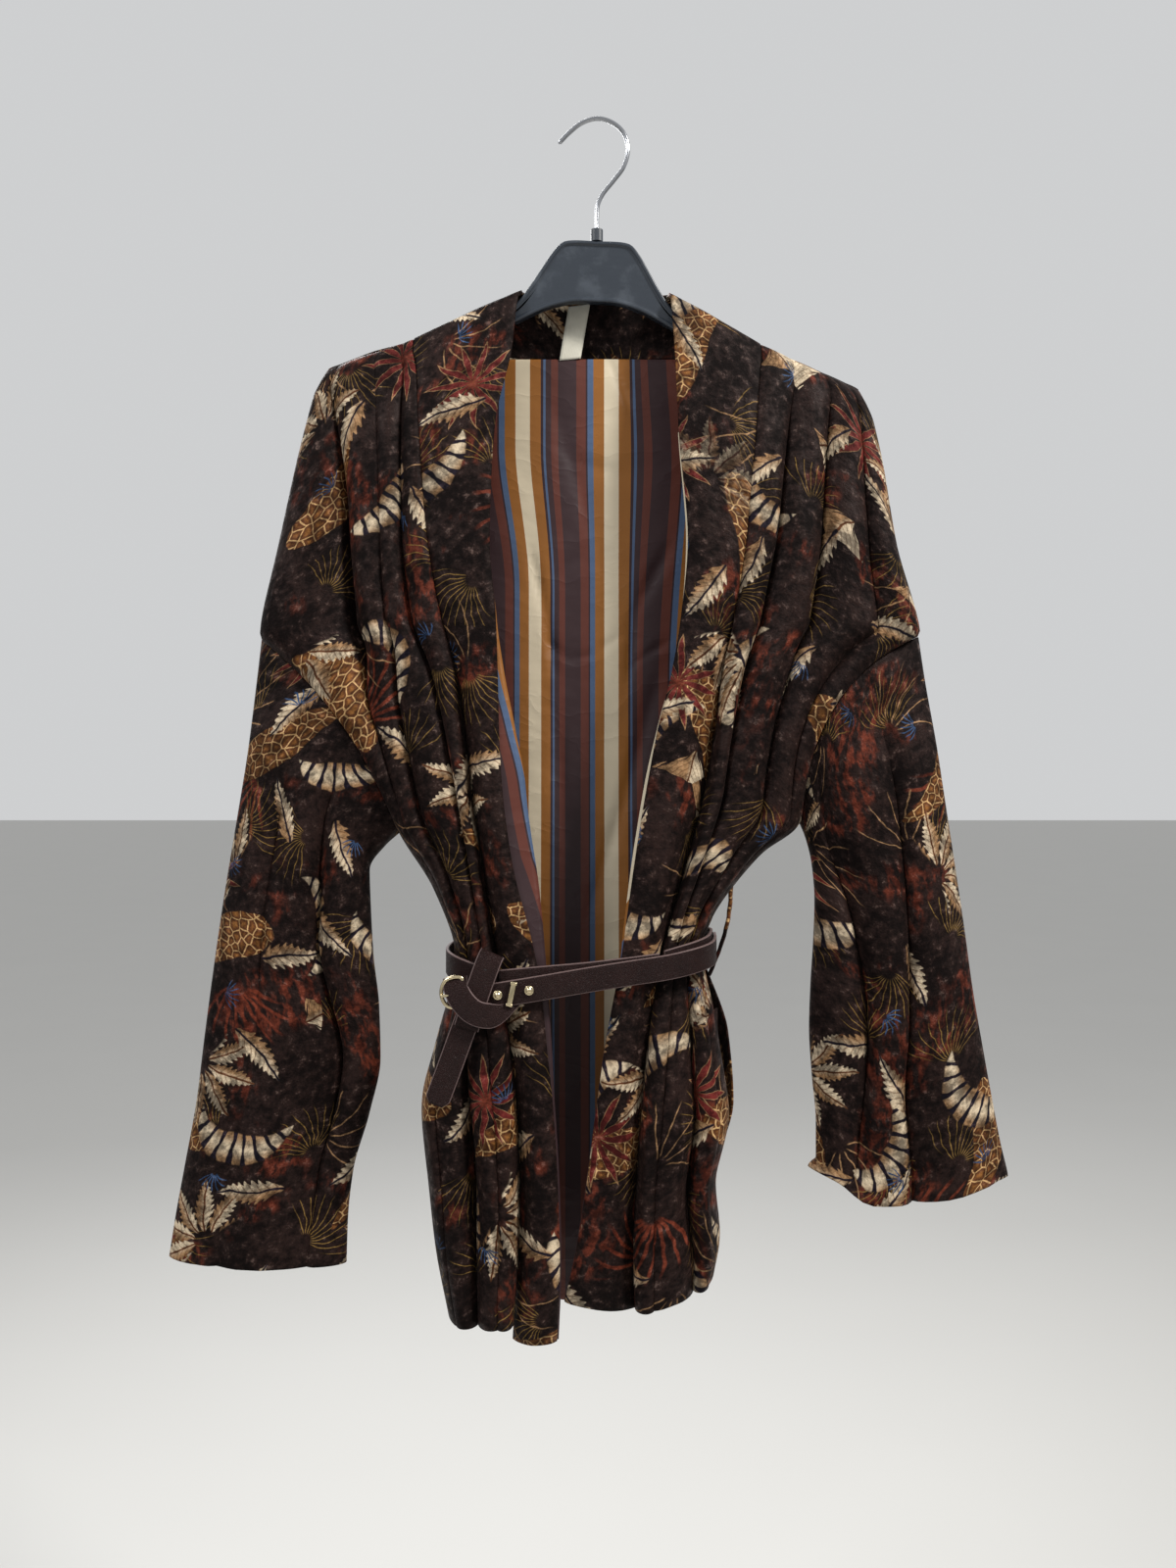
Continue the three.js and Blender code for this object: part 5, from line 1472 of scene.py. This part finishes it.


# Creases of each cloth: from x, z to x, z, how deep and how wide. A sleeve has those
# of its front under -1 and those of its back under 1.
CREASES = {
    "front_right": [
        (-178, -330, -150, -470, 4, 5),
        (-205, -300, -190, -400, 3, 5),
        (-140, -240, -128, -400, 3, 4),
        (-160, -210, -165, -330, 2.5, 5),
        (-100, -560, -84, -610, 3, 3.5),
        (-92, -640, -104, -720, 3, 4),
        (-70, -690, -66, -800, 2.5, 4),
        (-112, -700, -104, -800, 2.5, 4),
    ],
    "front_left": [
        (150, -320, 120, -470, 4, 5),
        (196, -330, 170, -420, 3, 5),
        (125, -230, 112, -370, 3, 4),
        (150, -215, 152, -300, 2.5, 5),
        (92, -520, 66, -600, 3, 3.5),
        (52, -640, 60, -740, 3, 4),
        (40, -700, 36, -810, 2.5, 4),
        (76, -700, 74, -800, 3, 4),
    ],
    "back": [
        (-170, -190, -84, -340, 2.6, 7),
        (160, -190, 78, -340, 2.6, 7),
        (-112, -230, -84, -500, 2.4, 6),
        (104, -230, 78, -500, 2.4, 6),
        (-20, -200, -12, -470, 2, 7),
        (-146, -430, -92, -600, 2.6, 5),
        (132, -430, 80, -600, 2.6, 5),
        (-44, -480, -34, -600, 2.2, 5),
        (34, -470, 26, -600, 2.2, 5),
        (-150, -300, -120, -470, 3, 6),
        (140, -300, 112, -460, 3, 6),
        (-60, -260, -52, -480, 2, 6),
        (55, -260, 48, -480, 2, 6),
        (-90, -640, -96, -780, 3, 5),
        (-30, -650, -34, -800, 3, 5),
        (30, -650, 34, -800, 3, 5),
        (66, -640, 70, -780, 3, 5),
    ],
    "sleeve_right": {
        -1: [(-230, -520, -215, -640, 3, 5), (-260, -560, -268, -700, 2, 5), (-190, -540, -205, -600, 4, 5),
             (-200, -700, -215, -800, 3, 5), (-240, -660, -236, -760, 2, 6)],
        1: [(-235, -520, -215, -660, 3, 5), (-205, -660, -225, -790, 3, 5)],
    },
    "sleeve_left": {
        -1: [(205, -500, 190, -600, 3, 5), (240, -520, 246, -640, 2, 5), (176, -520, 190, -570, 4, 5),
             (188, -640, 205, -720, 3, 5), (262, -640, 270, -740, 2, 5), (176, -690, 196, -770, 3, 4)],
        1: [(215, -500, 195, -620, 3, 5), (190, -630, 215, -740, 3, 5)],
    },
    "band_right": [
        (-108, -230, -100, -330, 1.6, 5),
        (-90, -420, -84, -520, 1.6, 4),
        (-60, -600, -50, -690, 1.5, 4),
    ],
    "band_left": [
        (88, -220, 86, -330, 1.6, 5),
        (72, -420, 62, -520, 1.6, 4),
        (34, -600, 26, -700, 1.5, 4),
    ],
    "lining_back": [
        (-36, -190, 20, -360, 1.8, 8),
        (9, -168, 27, -216, 1.6, 3.5),
        (-24, -243, 27, -260, 1.4, 4),
        (-35, -337, -5, -311, 1.2, 3.5),
        (57, -306, 26, -364, 2.6, 4),
        (27, -360, 24, -420, 2.4, 4),
        (-51, -312, -38, -360, 2.4, 3.5),
        (-39, -355, -30, -410, 2.4, 3.5),
        (-39, -380, -20, -397, 1.5, 3),
        (-22, -397, -2, -391, 1.5, 3),
        (0, -389, 26, -373, 1.4, 3),
        (56, -380, 26, -399, 1.6, 3),
        (48, -400, 10, -540, 2, 6),
        (-30, -420, -24, -540, 1.8, 6),
        (20, -500, -10, -600, 1.5, 5),
        (-6, -430, 2, -470, 1.2, 3),
    ],
}


VELVET_PRINT = printed_velvet()
SATIN = striped_satin()
LEATHER = pebbled_leather()
LEATHER_EDGE = leather_edge()
# Near-black paint that stands for the shade inside the punched hole
HOLE_SHADE = Paint("painted_hole_shade", Base_Color=colour(14, 9, 9), Roughness=0.8).material
BRASS = polished_metal("pale_gold", colour(208, 192, 156), 0.14)
CHROME = polished_metal("hook_chrome", colour(168, 170, 174), 0.1)
PLASTIC = moulded_plastic()
TAPE_CLOTH = woven_tape()


def place(piece, slot, node):
    """Hangs a finished piece on the garment's one body, in place of its CAD node. slot is not used."""
    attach(piece, "root")
    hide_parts(node)


# The next three give a lining's place across the stripes, in millimetres, from a point p on it
# and that point's run across the cloth
def back_stripes(p, _):
    """The back lining hangs in soft waves, so its stripes wander sideways on their way down."""
    billow = 0.18 * max(0, 6 - p.x) * smoothstep(-p.z, 235, 345)
    swell = 5 * math.exp(-((p.z + 245) / 55) ** 2) - 5 * smoothstep(-p.z, 290, 410)
    return p.x + 73.2 - billow - swell * smoothstep(p.x, 14, 50)


def right_stripes(p, run):
    """The right front's lining is cut so that its edge runs slowly across the stripes."""
    return max(4.8 + (p.z + 478) * 0.055 + min(0, p.z + 541) * 0.16, -10) - run


def left_stripes(p, run):
    """The left front's lining shows its cream stripe at the edge, and dark ones below the waist."""
    return max(16 - 0.3 * max(0, -560 - p.z), -12) - 0.6 * run


def left_cuff(x):
    """The left cuff hangs in a wave: up at its inner corner, down beside it."""
    return along([16, 6, -9, -10, -7, -2, 5], (x - 149) / 24)


def cloth_pieces():
    """Every cloth by its CAD node: its piece, slot, flat size in metres and flat area in square
    metres, which is None for a plain rectangle."""
    panel = {"thick": VELVET, "finish": VELVET_PRINT}
    folded = {"thick": BAND, "finish": VELVET_PRINT}
    satin = {"thick": LINING, "finish": SATIN}
    return {
        "front_right": (
            cloth("right_front", front_grid(FRONT_RIGHT, 150, 16, CREASES["front_right"], 1),
                  **panel, anchor=0.5, cut_at=(0, 0)),
            "velvet", (0.2, 0.72), 0.103),
        "front_left": (
            cloth("left_front", front_grid(FRONT_LEFT, 150, 16, CREASES["front_left"], 2),
                  **panel, anchor=0.5, cut_at=(620, 40)),
            "velvet", (0.2, 0.72), 0.098),
        "back": (
            cloth("back_panel", back_grid(150, 14, CREASES["back"], 3),
                  **panel, anchor=0.5, level=125, cut_at=(1400, 0)),
            "velvet", (0.5, 0.76), 0.27),
        "sleeve_right": (
            cloth("right_sleeve", sleeve_grid(SLEEVE_RIGHT, 110, 12, CREASES["sleeve_right"], 4),
                  **panel, anchor=0.25, cut_at=(2100, 80), looped=True),
            "velvet", (0.36, 0.46), 0.116),
        "sleeve_left": (
            cloth("left_sleeve", sleeve_grid(SLEEVE_LEFT, 110, 12, CREASES["sleeve_left"], 5, left_cuff),
                  **panel, anchor=0.25, cut_at=(2700, 140), looped=True),
            "velvet", (0.36, 0.42), 0.105),
        "band_right": (
            cloth("right_band", band_grid(BAND_RIGHT, 150, 18, CREASES["band_right"], 6),
                  **folded, cut_at=(3300, 0)),
            "velvet", (0.07, 0.76), 0.034),
        "band_left": (
            cloth("left_band", band_grid(BAND_LEFT, 150, 18, CREASES["band_left"], 7),
                  **folded, cut_at=(3500, 60)),
            "velvet", (0.07, 0.74), 0.036),
        "band_neck": (
            cloth("neck_band", neck_grid(60, 14), **folded, level=30, cut_at=(3700, 30)),
            "velvet", (0.26, 0.05), 0.012),
        "lining_back": (
            cloth("back_lining", lining_back_grid(220, 110, CREASES["lining_back"]),
                  **satin, stripes=back_stripes),
            "satin", (0.29, 0.72), 0.152),
        "lining_front_right": (
            cloth("right_front_lining", lining_front_grid(BAND_RIGHT, 5, 110, 12),
                  **satin, stripes=right_stripes),
            "satin", (0.04, 0.57), 0.0185),
        "lining_front_left": (
            cloth("left_front_lining", lining_front_grid(BAND_LEFT, 4, 110, 12),
                  **satin, stripes=left_stripes),
            "satin", (0.03, 0.62), 0.0172),
        "neck_tape": (neck_tape(), "cotton", (0.016, 0.042), None),
        "pocket_left": (pocket_bag(), "velvet", (0.04, 0.065), None),
        "belt_loop_left": (belt_loop(), "velvet", (0.012, 0.073), None),
    }


for node, (piece, slot, flat, area) in cloth_pieces().items():
    place(piece, slot, node)

UP = (0, 0, 1)    # the way the belt's width runs round the waist


def tail_tip(s):
    """The tail's end is cut off at its corners."""
    return lerp(1, 0.55, (s - 0.93) / 0.07) if s > 0.93 else 1.0


def wrap_end(s):
    """The strap narrows where it is drawn in under the belt."""
    return lerp(1, 0.45, smoothstep(s, 0.6, 0.9))


place(strap("belt_round_body", BELT_ROUND, UP, 180), "leather", "belt_round")
place(strap("belt_under_strap", BELT_UNDER, UP, 50), "leather", "belt_under")
place(strap("belt_front_strap", BELT_OVER, UP, 90), "leather", "belt_over")
place(strap("belt_knot_strap", BELT_KNOT, KNOT_WAY, 40), "leather", "belt_knot")
place(strap("belt_tail_strap", BELT_TAIL, TAIL_WAY, 40, tail_tip), "leather", "belt_tail")
place(strap("belt_wrap_strap", BELT_WRAP, None, 50, wrap_end, face=(-0.1, -1, 0.12)), "leather",
      "belt_knot")
place(punched_hole(), "leather", "belt_knot")
place(buckle_frame(), "brass", "buckle_frame")
place(buckle_prong(), "brass", "buckle_prong")
place(keeper(), "brass", "belt_keeper")
for side in STUDS:
    place(stud(side), "brass", f"belt_stud_{side}")
place(hanger_plate(), "plastic", "hanger_body")
place(hook(), "chrome", "hanger_hook")
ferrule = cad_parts["hanger_ferrule"]
ferrule.data.materials.clear()
ferrule.data.materials.append(PLASTIC)


# The lamps: place and size in metres, power in watts and tint, all turned towards the robe
LAMPS = {
    "key": ((1.6, -1.1, 1.25), 0.5, 88, (1, 0.98, 0.94)),
    "fill": ((-1.5, -1.3, 0.9), 0.8, 32, (0.98, 0.99, 1)),
    "behind": ((-0.6, 1.9, 0.8), 1.6, 44, (1, 1, 1)),
}
ROBE_MIDDLE = Vector((0, 0, -0.5))
ROOM_TINT, ROOM_STRENGTH = (0.86, 0.87, 0.88, 1), 0.72
FLOOR_HALF, FLOOR_DOWN = 40, -1.75     # metres


def soft_light(name, stands, size, power, tint):
    lamp = bpy.data.lights.new(name, "AREA")
    lamp.shape = "DISK"
    lamp.size = size
    lamp.energy = power
    lamp.color = tint
    obj = bpy.data.objects.new(name, lamp)
    obj.location = stands
    obj.rotation_euler = (ROBE_MIDDLE - Vector(stands)).to_track_quat("-Z", "Y").to_euler()
    bpy.context.scene.collection.objects.link(obj)


def studio():
    """Three soft lamps, an even pale room and a pale floor far below the robe."""
    for name, settings in LAMPS.items():
        soft_light(name, *settings)
    world = bpy.data.worlds.new("pale_room")
    world.use_nodes = True
    world.node_tree.nodes["Background"].inputs["Color"].default_value = ROOM_TINT
    world.node_tree.nodes["Background"].inputs["Strength"].default_value = ROOM_STRENGTH
    bpy.context.scene.world = world
    bpy.context.scene.view_settings.view_transform = "Standard"
    bm = bmesh.new()
    bmesh.ops.create_grid(bm, x_segments=2, y_segments=2, size=FLOOR_HALF)
    bmesh.ops.translate(bm, vec=(0, 0, FLOOR_DOWN), verts=bm.verts)
    finished("pale_floor", bm, matt_paint("floor_paint", colour(196, 195, 192)))


def camera():
    """Where the photographer stood: level, 866 mm in front of the hook, a little above the belt."""
    data = bpy.data.cameras.new("camera")
    data.sensor_fit = "VERTICAL"
    data.sensor_height = 36
    data.lens = 27
    obj = bpy.data.objects.new("camera", data)
    obj.location = Vector((-6.5, -866, -488.4)) * MM
    obj.rotation_euler = (math.pi / 2, 0, 0)
    bpy.context.scene.collection.objects.link(obj)
    bpy.context.scene.camera = obj


camera()
studio()
